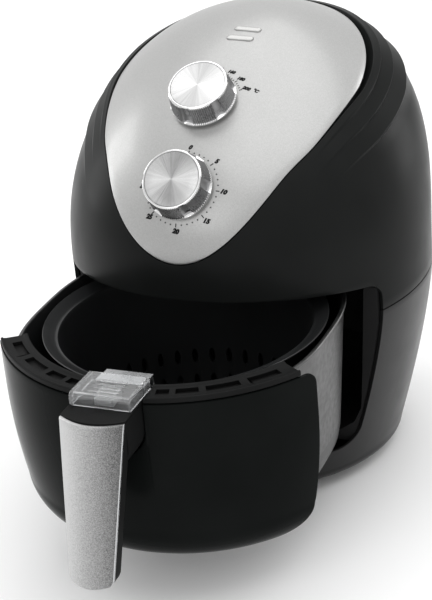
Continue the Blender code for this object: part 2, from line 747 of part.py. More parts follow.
def controls(parent):
    timer = knob("timer", TIMER_Z, 13.0, 19.0, 26.0, parent)
    turned("timer_bell", [(0, -49.0), (9.0, -48.0), (14.0, -43.0), (14.0, -39.4), (0, -39.4)],
           bright_steel(), timer, count=20)
    knob("thermostat", THERMOSTAT_Z, 7.0, 15.5, 22.0, parent)
    drawer_switch(parent)


def drawer_switch(parent):
    """The door switch with its plunger, which slides in a bore and reaches out past the bay's flange."""
    made = box("drawer_switch", (-112.6, -49.0, 123.0), (-106.2, -33.0, 137.0), dark_plastic(), parent)
    bore = ring_y((PLUNGER_X, PLUNGER_Z), 1.5, -55.0, 12)
    depth = -49.3 + PLUNGER_TRAVEL + 1.0
    far = [(x, depth, z) for x, _, z in bore]
    combine(made, solid("plunger_bore_cut", [bore, far], None, parent))
    plunger = place("plunger_axis", (PLUNGER_X, -50.0, PLUNGER_Z), parent)
    loops = [ring_y((0, 0), 1.1, y, 12) for y in (-8.0, 0.7)]
    solid("switch_plunger", loops, ceramic(), plunger)


# ---------------------------------------------------------------- drawer

def front_radius(z):
    """Outer radius of the drawer's front cover at a height."""
    return FRONT_R - 11.0 * max(0.0, (130 - z) / 95) ** 2


def notch_outline(half_width, top):
    """U shape (x, z) of the handle's notch in the drawer front."""
    return arc((0, NOTCH_Z), half_width, 180, 360, 14) + [(half_width, top), (-half_width, top)]


def drawer_front(parent):
    """The glossy cover: a turned shell trimmed to the opening's side view."""
    floor = OPENING_FLOOR + 1.0
    bend = 18.0
    heights = (floor + bend, 66, 82, 100, 118, 138, 158.4)
    outside = [(front_radius(z), z) for z in heights]
    corner = arc((outside[0][0] - bend, floor + bend), bend, -88, 0, 7)
    inside = [(radius - WALL, z) for radius, z in reversed(outside)]
    inner_corner = arc((outside[0][0] - bend, floor + bend), bend - WALL, -10, -88, 5)
    made = turned("drawer_front", corner + outside[1:] + inside + inner_corner, black_gloss(), parent,
                  count=60)
    side = [(-170.0, floor - 5.0)]
    back = OPENING_Y - 0.8
    side += arc((back - 31.0, floor + 31.0), 31.0, -90, 0, 10)[1:]
    side += arc((back - 7.0, 151.4), 7.0, 0, 90, 5) + [(-170.0, 158.4)]
    combine(made, along_x("front_trim", side, 150.0, None, parent), "INTERSECT")
    notch = along_y("front_notch_cut", notch_outline(NOTCH_HALF_WIDTH, 175.0), -150.0, -95.0, None,
                    parent)
    return combine(made, notch)


def sector(name, inner, outer, low, high, start, end, finish, parent, steps=24):
    """A flat arc-shaped plate between two radii and two azimuths."""
    loops = []
    for step in range(steps + 1):
        angle = math.radians(start + (end - start) * step / steps)
        section = ((inner, low), (outer, low), (outer, high), (inner, high))
        loops.append([(r * math.sin(angle), -r * math.cos(angle), z) for r, z in section])
    return solid(name, loops, finish, parent)


def drawer_ledge(parent):
    """The matt top edge of the drawer front with its vent slots, and the apron behind the cover."""
    loops = []
    for step in range(23):
        angle = math.radians(-57.0 + 114.0 * step / 22)
        section = ((106.5, 159.0), (APRON_R, 159.0), (APRON_R, 98.0), (121.1, 98.0), (122.2, 118.0),
                   (122.2, 159.0), (124.9, 159.0), (124.9, 162.8), (106.5, 162.8))
        loops.append([(r * math.sin(angle), -r * math.cos(angle), z) for r, z in section])
    made = solid("drawer_ledge", loops, dark_plastic(), parent)
    notch = along_y("ledge_notch_cut", notch_outline(NOTCH_HALF_WIDTH, 175.0), -150.0, -95.0, None,
                    parent)
    combine(made, notch)
    for side, word in ((-1, "left"), (1, "right")):
        for index, (start, end) in enumerate(((15.0, 24.0), (27.0, 38.0), (41.0, 52.0))):
            low, high = sorted((start * side, end * side))
            slot = sector(f"ledge_slot_{word}_{index + 1}", 112.4, 118.2, 150.0, 170.0, low, high,
                          None, parent, 6)
            combine(made, slot)
    return made


def pan(parent):
    heights = (PAN_FLOOR, 43.0, 50.0, 62.0, 90.0, PAN_RIM - 1.6)
    rim = [pan_loop(1.0, PAN_RIM - 1.6, 1.4), pan_loop(1.0, PAN_RIM, 1.4), pan_loop(1.0, PAN_RIM, -1.4)]
    tub("pan", pan_loop, heights, 0.0, 1.5, nonstick(), parent, rim)
    for side, word in ((-1, "left"), (1, "right")):
        outline = [(x * side, -math.sqrt((APRON_R - CLEAR) ** 2 - x * x)) for x in (36.0, 42.0, 48.0)]
        outline += [(48.0 * side, -101.2), (36.0 * side, -101.2)]
        along_z(f"front_bracket_{word}", outline, 101.0, 124.0, bright_steel(), parent)
    box("latch_keeper", (-8.0, -106.8, 134.4), (8.0, -103.5, 136.4), bright_steel(), parent)


# ---------------------------------------------------------------- basket and handle

def basket(parent):
    profile = [(0, 50.0), (66.0, 50.0), (66.0, 42.0), (68.5, 42.0), (68.5, 50.0), (75.0, 50.0),
               (79.5, 54.5), (85.9, 147.0), (BASKET_R, BASKET_RIM), (96.0, 155.4), (96.0, 156.8),
               (86.3, 152.2), (84.4, 147.5), (78.0, 55.2), (74.4, 51.5), (0, 51.5)]
    made = turned("basket", profile, nonstick(), parent, (0, CHAMBER_Y), 40)
    places = [(0, 0)]
    for count, distance in ((6, 22.0), (12, 44.0)):
        places += arc((0, 0), distance, 0, 360, count)[:-1]
    combine(made, pegs("basket_floor_holes", places, 4.4, 46.0, 56.0, parent, (0, CHAMBER_Y), 6))
    slots = bmesh.new()
    for step in range(16):
        angle = 2 * math.pi * (step + 0.5) / 16
        turn = Matrix.Translation(Vector((0, CHAMBER_Y, 0)) * MM) @ Matrix.Rotation(angle, 4, "Z")
        size = Matrix.Diagonal((14.0 * MM, 4.4 * MM, 14.0 * MM, 1.0))
        bmesh.ops.create_cube(slots, size=1.0,
                              matrix=turn @ Matrix.Translation(Vector((80.0, 0, 72.0)) * MM) @ size)
    return combine(made, from_bmesh("basket_side_slots", slots, parent))


def from_bmesh(name, mesh, parent):
    data = bpy.data.meshes.new(name)
    mesh.to_mesh(data)
    mesh.free()
    made = bpy.data.objects.new(name, data)
    bpy.context.scene.collection.objects.link(made)
    made.parent = parent
    return made


def pegs(name, places, radius, low, high, parent, centre=(0, 0), sides=10):
    """One cutter made of separate upright pegs, one at each plan position."""
    mesh = bmesh.new()
    for x, y in places:
        middle = Vector((centre[0] + x, centre[1] + y, (low + high) / 2)) * MM
        bmesh.ops.create_cone(mesh, cap_ends=True, segments=sides, radius1=radius * MM,
                              radius2=radius * MM, depth=(high - low) * MM,
                              matrix=Matrix.Translation(middle))
    return from_bmesh(name, mesh, parent)


def grip_line(z):
    """Half-width of the handle and y of its side edges at a height."""
    share = (z - GRIP_BOTTOM[1]) / (GRIP_TOP[1] - GRIP_BOTTOM[1])
    edge = GRIP_BOTTOM[0] + (GRIP_TOP[0] - GRIP_BOTTOM[0]) * share
    return 14.8 + 6.8 * share, edge, 5.0 + 2.2 * share


def grip_half_width(z):
    """Half-width of the handle, drawn in towards its rounded lower end."""
    return grip_line(z)[0] - 6.0 * max(0.0, 1 - (z - 57.4) / 8.0) ** 2


def grip_front(z, inset, steps=10):
    """The handle's bowed front line at a height, left to right, set back by an inset."""
    _, edge, bulge = grip_line(z)
    half = grip_half_width(z)
    points = []
    for step in range(steps + 1):
        share = 2 * step / steps - 1
        points.append((half * share, edge + inset - bulge * (1 - share * share), z))
    return points


def handle_plate(parent):
    loops = []
    for z in (58.7, 60.2, 62.4, 65.4, 112.0, GRIP_TOP[1]):
        loops.append(grip_front(z, 0.0) + list(reversed(grip_front(z, 2.2))))
    return solid("handle_plate", loops, silver(), parent)


def handle_core(parent):
    """The black grip behind the plate, joined to the U-shaped root that drops into the notch."""
    loops = []
    for z in (57.4, 58.7, 60.2, 62.4, 65.4, 112.0, 158.6):
        half = grip_half_width(z)
        back = grip_line(z)[1] + 15.5
        curve = [(half, back - 5.0, z), (half - 1.5, back - 1.6, z), (half - 5.0, back, z),
                 (5.0 - half, back, z), (1.5 - half, back - 1.6, z), (-half, back - 5.0, z)]
        loops.append(grip_front(z, 2.5) + curve)
    made = solid("handle_core", loops, dark_plastic(), parent)
    root = along_y("handle_root", notch_outline(NOTCH_HALF_WIDTH - 1.0, 158.6), -146.4, -109.7, None,
                   parent)
    combine(made, root, "UNION")
    pockets = (("button_pocket", (-7.1, -131.6, 144.2), (7.1, -116.4, 170.0)),
               ("leg_channel", (-2.7, -124.0, 127.4), (2.7, -117.2, 150.0)),
               ("bolt_channel", (-3.7, -133.0, 127.4), (3.7, -100.0, 132.7)),
               ("lug_channel", (-3.7, -133.0, 127.4), (3.7, -118.4, 140.4)))
    for name, low, high in pockets:
        combine(made, box(name, low, high, None, parent))
    combine(made, pegs("spring_pocket", [(0, -127.6)], 2.8, 141.2, 150.0, parent))
    for side in (-1, 1):
        hole = arc((STRAP_SCREW_X * side, NOTCH_Z), 1.9, 0, 360, 12)[:-1]
        combine(made, along_y(f"handle_screw_hole_{side + 2}", hole, -122.0, -100.0, None, parent))
    return made


def top_cap(parent):
    front = [(x, y) for x, y, _ in grip_front(158.9, 2.6)]
    outline = front + [(21.0, -112.0), (-21.0, -112.0)]
    made = along_z("handle_top_cap", outline, 158.9, 160.1, dark_plastic(), parent)
    return combine(made, box("cap_button_hole", (-7.1, -131.6, 150.0), (7.1, -116.4, 170.0), None,
                             parent))


def button_guard(parent):
    """The clear cover that slides forward off the release button."""
    track = place("guard_slide", (0, 0, 0), parent)
    outline = [(-136.6, 160.4), (-110.0, 160.4), (-110.0, 167.4), (-111.4, 168.7), (-133.4, 168.7),
               (-135.6, 167.6), (-136.6, 165.6)]
    made = along_x("button_guard", outline, 20.5, clear(), track)
    inside = [(-134.8, 150.0), (-105.0, 150.0), (-105.0, 166.9), (-133.2, 166.9), (-134.8, 165.2)]
    combine(made, along_x("guard_inside_cut", inside, 18.7, None, track))
    for index in range(3):
        y = -131.0 + 5.0 * index
        combine(made, box(f"guard_rib_{index + 1}", (-11.0, y, 168.0), (11.0, y + 1.6, 169.3), None,
                          track), "UNION")
    return made


def release(parent):
    """The sprung button and the latch bolt that it draws forward out of the pan's keeper."""
    press = place("button_axis", (0, 0, 0), parent)
    made = box("release_button", (-6.6, -131.1, 148.0), (6.6, -116.9, 164.2), light_grey(), press, 2.0)
    leg = box("button_leg", (-2.2, -123.0, 135.6), (2.2, -118.0, 150.0), None, press, 0.4)
    combine(made, leg, "UNION")
    bolt = place("bolt_axis", (0, 0, 0), parent)
    outline = [(-129.0, 128.0), (-104.4, 128.0), (-104.4, 132.0), (-120.0, 132.0), (-127.0, 139.0),
               (-129.0, 139.0)]
    along_x("latch_bolt", outline, 3.2, bright_steel(), bolt)
    loops = []
    turns, steps = 4, 28
    for step in range(steps + 1):
        angle = 2 * math.pi * turns * step / steps
        z = 141.9 + 5.2 * step / steps
        section = []
        for x, y in arc((0, 0), 0.4, 0, 360, 5)[:-1]:
            reach = 2.1 + x
            section.append((reach * math.cos(angle), -127.6 + reach * math.sin(angle), z + y))
        loops.append(section)
    solid("button_spring", loops, bright_steel(), press)


def basket_bracket(parent):
    """The steel strap from the basket's flange over the pan's rim to the handle's root."""
    outline = [(-91.7, 155.5), (-91.7, 162.3), (-109.4, 162.3), (-109.4, 124.0), (-107.4, 124.0),
               (-107.4, 160.3), (-93.7, 160.3), (-93.7, 155.5)]
    made = along_x("basket_bracket", outline, 16.0, bright_steel(), parent)
    combine(made, box("bolt_window", (-4.4, -115.0, 126.8), (4.4, -100.0, 133.6), None, parent))
    for side, word in ((-1, "left"), (1, "right")):
        hole = arc((STRAP_SCREW_X * side, NOTCH_Z), 1.9, 0, 360, 12)[:-1]
        combine(made, along_y(f"strap_hole_{word}", hole, -122.0, -100.0, None, parent))
        loops = [ring_y((STRAP_SCREW_X * side, NOTCH_Z), radius, y, 16) for radius, y in (
            (3.2, -105.9), (3.2, -107.1), (1.5, -107.1), (1.5, -120.0))]
        solid(f"handle_screw_{word}", loops, bright_steel(), parent)
    return made


# ---------------------------------------------------------------- main

def main():
    for item in list(bpy.data.objects):
        bpy.data.objects.remove(item, do_unlink=True)
    appliance = place("appliance", (0, BODY_Y, 0))
    lenses = lens_carriers(appliance)
    upper_housing(appliance)
    top_panel(appliance, lenses)
    indicator_lights(lenses)
    lower_housing(appliance)
    base(appliance)
    drawer_bay(appliance)
    rear_fittings(appliance)
    heating_chamber(appliance)
    controls(appliance)
    drawer = place("drawer_slide", (0, -DRAWER_TRAVEL, 0), appliance)
    pan(drawer)
    drawer_front(drawer)
    drawer_ledge(drawer)
    unit = place("basket_lift", (0, 0, 0), drawer)
    basket(unit)
    basket_bracket(unit)
    handle_core(unit)
    handle_plate(unit)
    top_cap(unit)
    button_guard(unit)
    release(unit)


main()
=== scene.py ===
"""Looks of the egg-shaped air fryer: detailed shells, knobs, drawer and handle around the CAD frame.

Lengths here are millimetres, scaled to metres when a mesh is made. Points are written about the
body's own axis; BODY_Y and DRAWER_Y, read from the frame, carry them to their places in the row.
"""

import json
import math

import bmesh
import bpy
import numpy as np
from mathutils import Matrix, Vector


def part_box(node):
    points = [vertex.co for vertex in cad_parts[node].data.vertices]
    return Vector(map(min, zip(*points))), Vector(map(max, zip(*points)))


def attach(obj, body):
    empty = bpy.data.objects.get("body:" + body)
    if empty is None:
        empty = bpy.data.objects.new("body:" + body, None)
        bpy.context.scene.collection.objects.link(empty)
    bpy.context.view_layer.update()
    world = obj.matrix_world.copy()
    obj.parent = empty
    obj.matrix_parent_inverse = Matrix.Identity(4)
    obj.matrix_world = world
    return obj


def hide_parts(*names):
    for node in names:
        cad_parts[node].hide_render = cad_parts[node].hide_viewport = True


MM = 0.001
SHARP_ANGLE = 38
RAMP_START, RAMP_END = 0.3, 0.7  # the part of a noise value that a tint or gloss runs over
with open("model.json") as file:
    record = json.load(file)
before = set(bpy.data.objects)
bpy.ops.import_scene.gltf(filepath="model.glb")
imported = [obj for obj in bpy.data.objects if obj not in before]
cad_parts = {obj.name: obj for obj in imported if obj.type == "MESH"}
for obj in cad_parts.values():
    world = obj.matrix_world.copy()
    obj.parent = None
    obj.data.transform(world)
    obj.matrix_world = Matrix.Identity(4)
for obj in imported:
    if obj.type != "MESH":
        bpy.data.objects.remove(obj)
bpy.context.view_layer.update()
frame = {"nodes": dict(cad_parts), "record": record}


def middle(node):
    """Centre of a CAD node's box, in millimetres."""
    low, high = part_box(node)
    return [(a + b) / 2 / MM for a, b in zip(low, high)]


# Body
BODY_R = 130.0
SEAM_Z = 141.0
SEAM_GAP = 0.3
TAPER = 31.0
BASE_Z = 8.0
WALL = 2.6
DOME_Z = 150.0
DOME_H = 172.0
DOME_SHIFT = 42.0
NOSE = 18.0

# Top panel, gutter and terraces
PANEL_HALF_WIDTH = 89.3
PANEL_Y = -2.0
PANEL_FRONT = 129.6
PANEL_BACK = 99.0
PANEL_T = 2.4
TIP_Z = 198.4
TIP_RISE = 63.6
TIP_WAVES = 3.7
TIP_START = 30.0
TIP_END = 46.0
GUTTER_FRONT = 0.8
GUTTER_BACK = 6.5
SHELF_DROP = 5.0
TERRACE_ENDS = (6.0, 19.0, 35.0)
TERRACE_RISE = 3.4
TERRACE_DROP = 2.6
RIM_RISE = 1.6

# Drawer opening, drawer front and ledge
OPENING_Y = -57.8
OPENING_FLOOR = 33.5
OPENING_CORNER = 15.0
OPENING_BEND = 13.0
OPENING_TOP = 150.0
OPENING_TURN = 1.8  # past its bend, where the opening's upper edge starts to slope
OPENING_RISE = 12.87
OPENING_FALL = 9.73
OPENING_RUN = 67.0
FRONT_GAP = 0.8
FRONT_R = 125.6
FRONT_TOP = 158.4
FRONT_FLOOR = 34.5
FRONT_BEND = 27.0
FRONT_CORNER = 31.0
FRONT_TOP_CORNER = 7.0
FRONT_BACK = OPENING_Y - FRONT_GAP
FRONT_HALF_ANGLE = 63
LEDGE_HALF_ANGLE = 57.0
NOTCH_HALF_WIDTH = 22.3
NOTCH_Z = 142.0

# Pan and basket
PAN_HALF_WIDTH = 102.3
PAN_Y = -4.0
PAN_HALF_LENGTH = 101.0
PAN_FLOOR = 40.0
PAN_RIM = 158.7
PAN_PAINTED_SHADE_Z = 79.0
PAN_SLACK = 0.4
CHAMBER_Y = -3.3

# Handle
GRIP_TOP = (-149.8, 159.0)
GRIP_BOTTOM = (-176.5, 58.7)
BUTTON_HOLE = (-7.1, 7.1, -131.6, -116.4, 1.0)

# Knobs
TIMER_Z = 244.6
THERMOSTAT_Z = 286.0
KNOB_R = 20.6
KNOB_H = 17.8
KNOB_FLUTES = 6
KNOB_TEETH = 96
TOOTH_DEPTH = 0.65
FLUTE_DEPTH = 2.3
FLUTE_SHARE = 0.155
# turn of the painted reflection wedges in the spun knob faces' colour
PAINTED_REFLECTION_TURN = 1.6

# Scales, in degrees clockwise from the top
MINUTE_ANGLE = 9.0
COLDEST_ANGLE = -53.0
THERMOSTAT_SPAN = 114.0
THERMOSTAT_TICKS = 24
INK_LIFT = 0.09
INK_DEPTH = -0.1

# Camera
VIEW_TURN = 24.21
VIEW_RISE = 25.57
VIEW_ROLL = -5.5
VIEW_DISTANCE = 1158.1
VIEW_LENS = 104.38

BODY_Y = middle("base_plate")[1]
DRAWER_Y = middle("basket")[1] - CHAMBER_Y


# ---------------------------------------------------------------- materials

class Paint:
    """A Principled material with short calls for the nodes that every finish here uses."""

    def __init__(self, name, colour, roughness, metallic=0.0):
        self.made = bpy.data.materials.new(name)
        self.made.use_nodes = True
        self.nodes = self.made.node_tree.nodes
        self.links = self.made.node_tree.links
        self.shader = self.nodes["Principled BSDF"]
        self.colour = (*colour, 1.0)
        self.set("Base Color", self.colour)
        self.set("Roughness", roughness)
        self.set("Metallic", metallic)
        self.where = self.nodes.new("ShaderNodeTexCoord").outputs["Object"]

    def set(self, socket, value):
        self.shader.inputs[socket].default_value = value

    def add(self, kind, values, **sources):
        """A node with its constants set by socket name, and other nodes' outputs linked into it."""
        node = self.nodes.new(f"ShaderNode{kind}")
        for socket, value in values.items():
            node.inputs[socket].default_value = value
        for socket, source in sources.items():
            self.links.new(source, node.inputs[socket])
        return node

    def noise(self, scale, detail=2.0, where=None):
        values = {"Scale": scale, "Detail": detail}
        return self.add("TexNoise", values, Vector=where or self.where).outputs["Fac"]

    def stretch(self, x, y, z):
        return self.add("Mapping", {"Scale": (x, y, z)}, Vector=self.where).outputs["Vector"]

    def split(self):
        """The surface's place, as separate X, Y and Z."""
        return self.add("SeparateXYZ", {}, Vector=self.where).outputs

    def math(self, operation, *values):
        node = self.nodes.new("ShaderNodeMath")
        node.operation = operation
        for socket, value in zip(node.inputs, values):
            if isinstance(value, float):
                socket.default_value = value
            else:
                self.links.new(value, socket)
        return node.outputs["Value"]

    def around(self, angle):
        """A place that changes with the angle alone, so that noise read there runs in radial streaks."""
        across, along = self.math("COSINE", angle), self.math("SINE", angle)
        return self.add("CombineXYZ", {}, X=across, Y=along).outputs["Vector"]

    def between(self, value, low, high):
        """Maps a 0 to 1 value to a range."""
        limits = {"From Min": RAMP_START, "From Max": RAMP_END, "To Min": low, "To Max": high}
        return self.add("MapRange", limits, Value=value).outputs["Result"]

    def tint(self, value, first, second):
        """Colour that runs from one to another with a 0 to 1 value."""
        node = self.nodes.new("ShaderNodeValToRGB")
        stops = ((RAMP_START, first), (RAMP_END, second))
        for element, (position, colour) in zip(node.color_ramp.elements, stops):
            element.position = position
            element.color = (*colour, 1.0)
        self.links.new(value, node.inputs["Fac"])
        self.links.new(node.outputs["Color"], self.shader.inputs["Base Color"])

    def rough(self, value, low, high):
        self.links.new(self.between(value, low, high), self.shader.inputs["Roughness"])

    def bump(self, value, strength, distance):
        node = self.add("Bump", {"Strength": strength, "Distance": distance * MM}, Height=value)
        self.links.new(node.outputs["Normal"], self.shader.inputs["Normal"])


def moulded(name, colour, roughness, grain, depth, specular=0.5):
    """Moulded plastic: fine grain in the surface and a slow change of gloss across it."""
    paint = Paint(name, colour, roughness)
    lighter = tuple(part * 1.22 + 0.0015 for part in colour)
    paint.tint(paint.noise(14.0, 3.0), colour, lighter)
    paint.rough(paint.noise(45.0, 4.0), roughness - 0.035, roughness + 0.035)
    paint.bump(paint.noise(grain, 2.0), 0.35, depth)
    paint.set("Specular IOR Level", specular)
    return paint.made


def lacquer(name, colour, roughness, flake, depth):
    """Metallic lacquer: small flakes that tilt the surface a little, under a clear coat."""
    paint = Paint(name, colour, roughness, 0.45)
    cells = paint.add("TexVoronoi", {"Scale": flake}, Vector=paint.where)
    spots = paint.add("SeparateColor", {}, Color=cells.outputs["Color"])
    darker = tuple(part * 0.86 for part in colour)
    paint.tint(spots.outputs["Red"], darker, colour)
    paint.rough(paint.noise(60.0, 3.0), roughness - 0.03, roughness + 0.03)
    paint.bump(spots.outputs["Green"], 0.5, depth)
    paint.set("Coat Weight", 0.25)
    paint.set("Coat Roughness", 0.12)
    return paint.made


def grip_lacquer(name, left, right):
    """Sandy silver lacquer with painted shade: its tone runs across the handle, from the lighter left side's
    colour to the darker right side's.
    """
    paint = Paint(name, left, 0.38, 0.5)
    split = paint.split()
    sand = paint.noise(1500.0, 3.0)
    # painted shade: the colour darkens with X across the handle, from left to right
    across = paint.math("MULTIPLY_ADD", split["X"], 11.0, 0.2)
    paint.tint(paint.math("MULTIPLY_ADD", sand, 0.5, across), left, right)
    paint.rough(paint.noise(500.0, 3.0), 0.34, 0.44)
    paint.bump(sand, 0.7, 0.05)
    return paint.made


def brushed(name, colour, roughness, lines, depth=0.02):
    """Worked metal with fine lines and faint smudges."""
    paint = Paint(name, colour, roughness, 1.0)
    paint.rough(paint.noise(220.0, 4.0), roughness - 0.07, roughness + 0.09)
    duller = tuple(part * 0.8 for part in colour)
    paint.tint(paint.noise(30.0, 4.0), duller, colour)
    paint.bump(paint.noise(900.0, 3.0, paint.stretch(*lines)), 0.4, depth)
    return paint.made


def spun(name, colour, roughness):
    """Metal turned on a lathe: rings cut about the local Z axis and the stretched gloss they give, with a
    painted reflection in the colour: two lighter and two darker wedges about the axis, over radial streaks.
    """
    paint = Paint(name, colour, roughness, 1.0)
    bands = paint.add("TexWave", {"Scale": 420.0, "Distortion": 0.6, "Detail": 3.0}, Vector=paint.where)
    bands.wave_type = "RINGS"
    bands.rings_direction = "Z"
    paint.bump(bands.outputs["Fac"], 0.3, 0.012)
    paint.rough(bands.outputs["Fac"], roughness - 0.04, roughness + 0.05)
    split = paint.split()
    around = paint.math("ARCTAN2", split["Y"], split["X"])
    # painted reflection: twice the angle about the axis gives two lighter and two darker wedges in the
    # colour, like a stretched highlight
    painted_reflection_wedges = paint.math("SINE", paint.math("MULTIPLY_ADD", around, 2.0, PAINTED_REFLECTION_TURN))
    streaks = paint.noise(7.0, 5.0, paint.around(around))
    softened = paint.math("MULTIPLY_ADD", streaks, 0.4, 0.3)
    streaks_and_painted_reflection = paint.math("MULTIPLY_ADD", painted_reflection_wedges, 0.17, softened)
    darker = tuple(part * 0.55 for part in colour)
    paint.tint(streaks_and_painted_reflection, darker, colour)
    tangent = paint.nodes.new("ShaderNodeTangent")
    tangent.direction_type = "RADIAL"
    tangent.axis = "Z"
    paint.links.new(tangent.outputs["Tangent"], paint.shader.inputs["Tangent"])
    paint.set("Anisotropic", 0.85)
    return paint.made


def clear_plastic(name):
    paint = Paint(name, (0.95, 0.96, 0.97), 0.05)
    paint.set("Transmission Weight", 0.93)
    paint.set("IOR", 1.49)
    paint.rough(paint.noise(80.0, 3.0), 0.03, 0.09)
    paint.bump(paint.noise(300.0, 2.0), 0.1, 0.02)
    return paint.made


def coil_copper(name):
    paint = Paint(name, (0.55, 0.27, 0.14), 0.35, 0.9)
    paint.bump(paint.noise(60.0, 2.0, paint.stretch(0.2, 0.2, 40.0)), 0.6, 0.2)
    paint.rough(paint.noise(200.0, 3.0), 0.3, 0.5)
    paint.tint(paint.noise(90.0, 3.0), (0.45, 0.2, 0.1), (0.62, 0.33, 0.18))
    return paint.made


def ceramic_white(name):
    paint = Paint(name, (0.82, 0.80, 0.76), 0.4)
    paint.tint(paint.noise(120.0, 4.0), (0.74, 0.72, 0.67), (0.84, 0.82, 0.78))
    paint.rough(paint.noise(160.0, 3.0), 0.32, 0.5)
    paint.bump(paint.noise(700.0, 2.0), 0.3, 0.05)
    return paint.made


SATIN = moulded("satin_black", (0.0078, 0.0084, 0.0082), 0.33, 2600.0, 0.012, 0.06)
CHARCOAL = moulded("satin_charcoal", (0.010, 0.010, 0.0102), 0.32, 2600.0, 0.012, 0.25)
GLOSS = moulded("polished_black", (0.0038, 0.0045, 0.0043), 0.20, 2600.0, 0.001, 0.03)
MATT = moulded("matt_black", (0.0058, 0.0060, 0.0060), 0.50, 1800.0, 0.03, 0.07)
DARK = moulded("dark_liner", (0.009, 0.009, 0.0092), 0.6, 1500.0, 0.03, 0.2)
INK = moulded("printed_ink", (0.004, 0.004, 0.004), 0.5, 3000.0, 0.004, 0.1)
GREY = moulded("grey_plastic", (0.30, 0.30, 0.30), 0.35, 2000.0, 0.01)
RUBBER = moulded("rubber_grey", (0.03, 0.03, 0.03), 0.75, 1200.0, 0.05)
PANEL = lacquer("panel_silver", (0.43, 0.43, 0.425), 0.36, 3200.0, 0.002)
# painted shade: the handle's silver darkens from 0.52 on its left to 0.08 on its right
PLATE_PAINTED_SHADE = grip_lacquer("handle_silver_painted_shade", (0.52, 0.52, 0.52), (0.08, 0.08, 0.08))
SPUN = spun("spun_metal", (0.66, 0.66, 0.66), 0.3)
KNURL = brushed("knurled_metal", (0.36, 0.36, 0.365), 0.28, (1.0, 1.0, 0.1), 0.01)
POLISHED = brushed("polished_metal", (0.88, 0.88, 0.88), 0.16, (1.0, 1.0, 0.1), 0.004)
STEEL = brushed("bright_metal", (0.62, 0.63, 0.64), 0.28, (1.0, 0.1, 1.0))
SHEET = brushed("sheet_metal", (0.60, 0.60, 0.59), 0.42, (0.2, 1.0, 1.0), 0.03)
PAN_OUTSIDE = brushed("pan_outside", (0.11, 0.11, 0.11), 0.36, (1.0, 1.0, 0.15), 0.01)
NONSTICK = moulded("nonstick_black", (0.011, 0.0115, 0.012), 0.34, 1100.0, 0.02, 0.4)
CLEAR = clear_plastic("clear_cover")
COPPER = coil_copper("coil_copper")
CERAMIC = ceramic_white("white_moulding")
LENS = lacquer("lens_grey", (0.50, 0.50, 0.49), 0.16, 5000.0, 0.001)

SLOT_FINISH = {
    "black_satin_plastic": SATIN, "black_gloss_plastic": GLOSS, "dark_moulded_plastic": MATT,
    "silver_lacquer": PANEL, "spun_aluminium": KNURL, "nonstick_coating": NONSTICK,
    "bright_steel": STEEL, "aluminised_steel": SHEET, "grey_rubber": RUBBER, "clear_plastic": CLEAR,
    "white_ceramic": CERAMIC, "lacquered_copper": COPPER, "light_grey_plastic": GREY,
}


# ---------------------------------------------------------------- mesh helpers

def show(name, data):
    """A new object in the scene."""
    made = bpy.data.objects.new(name, data)
    bpy.context.scene.collection.objects.link(made)
    return made


def link(name, mesh, finishes):
    """An object from a bmesh, smooth except at sharp angles, with its materials."""
    data = bpy.data.meshes.new(name)
    mesh.to_mesh(data)
    mesh.free()
    data.shade_smooth()
    data.set_sharp_from_angle(angle=math.radians(SHARP_ANGLE))
    for finish in finishes:
        data.materials.append(finish)
    return show(name, data)


def sweep(name, rows, finishes, y=0.0, closed=True, paint_rows=None):
    """A closed body through equal closed loops of points, capped at both ends unless it is closed.

    paint_rows gives a material index from the number of a row and the number of a point in it."""
    mesh = bmesh.new()
    shift = Vector((0, y, 0))
    made = [[mesh.verts.new((Vector(point) + shift) * MM) for point in row] for row in rows]
    pairs = list(zip(made, made[1:]))
    if closed:
        pairs.append((made[-1], made[0]))
    for number, (row, following) in enumerate(pairs):
        for index in range(len(row)):
            nearby = (index + 1) % len(row)
            face = mesh.faces.new((row[index], row[nearby], following[nearby], following[index]))
            if paint_rows:
                face.material_index = paint_rows(number, index)
    if not closed:
        mesh.faces.new(made[0])
        mesh.faces.new(made[-1])
    bmesh.ops.remove_doubles(mesh, verts=mesh.verts, dist=2e-6)
    bmesh.ops.recalc_face_normals(mesh, faces=mesh.faces)
    return link(name, mesh, finishes)


def arc(centre, radius, start, end, steps):
    """Points of a circular arc in a plane, with its angles in degrees."""
    points = []
    for step in range(steps + 1):
        angle = math.radians(start + (end - start) * step / steps)
        points.append((centre[0] + radius * math.cos(angle), centre[1] + radius * math.sin(angle)))
    return points


def circle(radius, z, count, centre=(0, 0)):
    return [(x, y, z) for x, y in arc(centre, radius, 0, 360, count)[:-1]]


def turned(name, profile, finishes, y=0.0, count=96, centre=(0, 0), closed=False):
    """A (radius, z) profile turned about a vertical axis."""
    rows = [circle(max(radius, 1e-4), z, count, centre) for radius, z in profile]
    return sweep(name, rows, finishes, y, closed)


def rounded(left, right, low, high, radius, steps=6):
    """The outline of a rectangle with rounded corners."""
    corners = ((right, low, -90), (right, high, 0), (left, high, 90), (left, low, 180))
    points = []
    for x, y, start in corners:
        centre = (x - math.copysign(radius, x - (left + right) / 2),
                  y - math.copysign(radius, y - (low + high) / 2))
        points += arc(centre, radius, start, start + 90, steps)
    return points


def capsule(half_length, radius, steps=12):
    reach = half_length - radius
    return arc((reach, 0), radius, -90, 90, steps) + arc((-reach, 0), radius, 90, 270, steps)


def block(name, outline, low, high, finish, axis="Z", y=0.0):
    """An outline pushed out along one axis between two places."""
    place = {"X": lambda a, b, c: (c, a, b), "Y": lambda a, b, c: (a, c, b), "Z": lambda a, b, c: (a, b, c)}
    rows = [[place[axis](a, b, c) for a, b in outline] for c in (low, high)]
    return sweep(name, rows, [finish], y, closed=False)


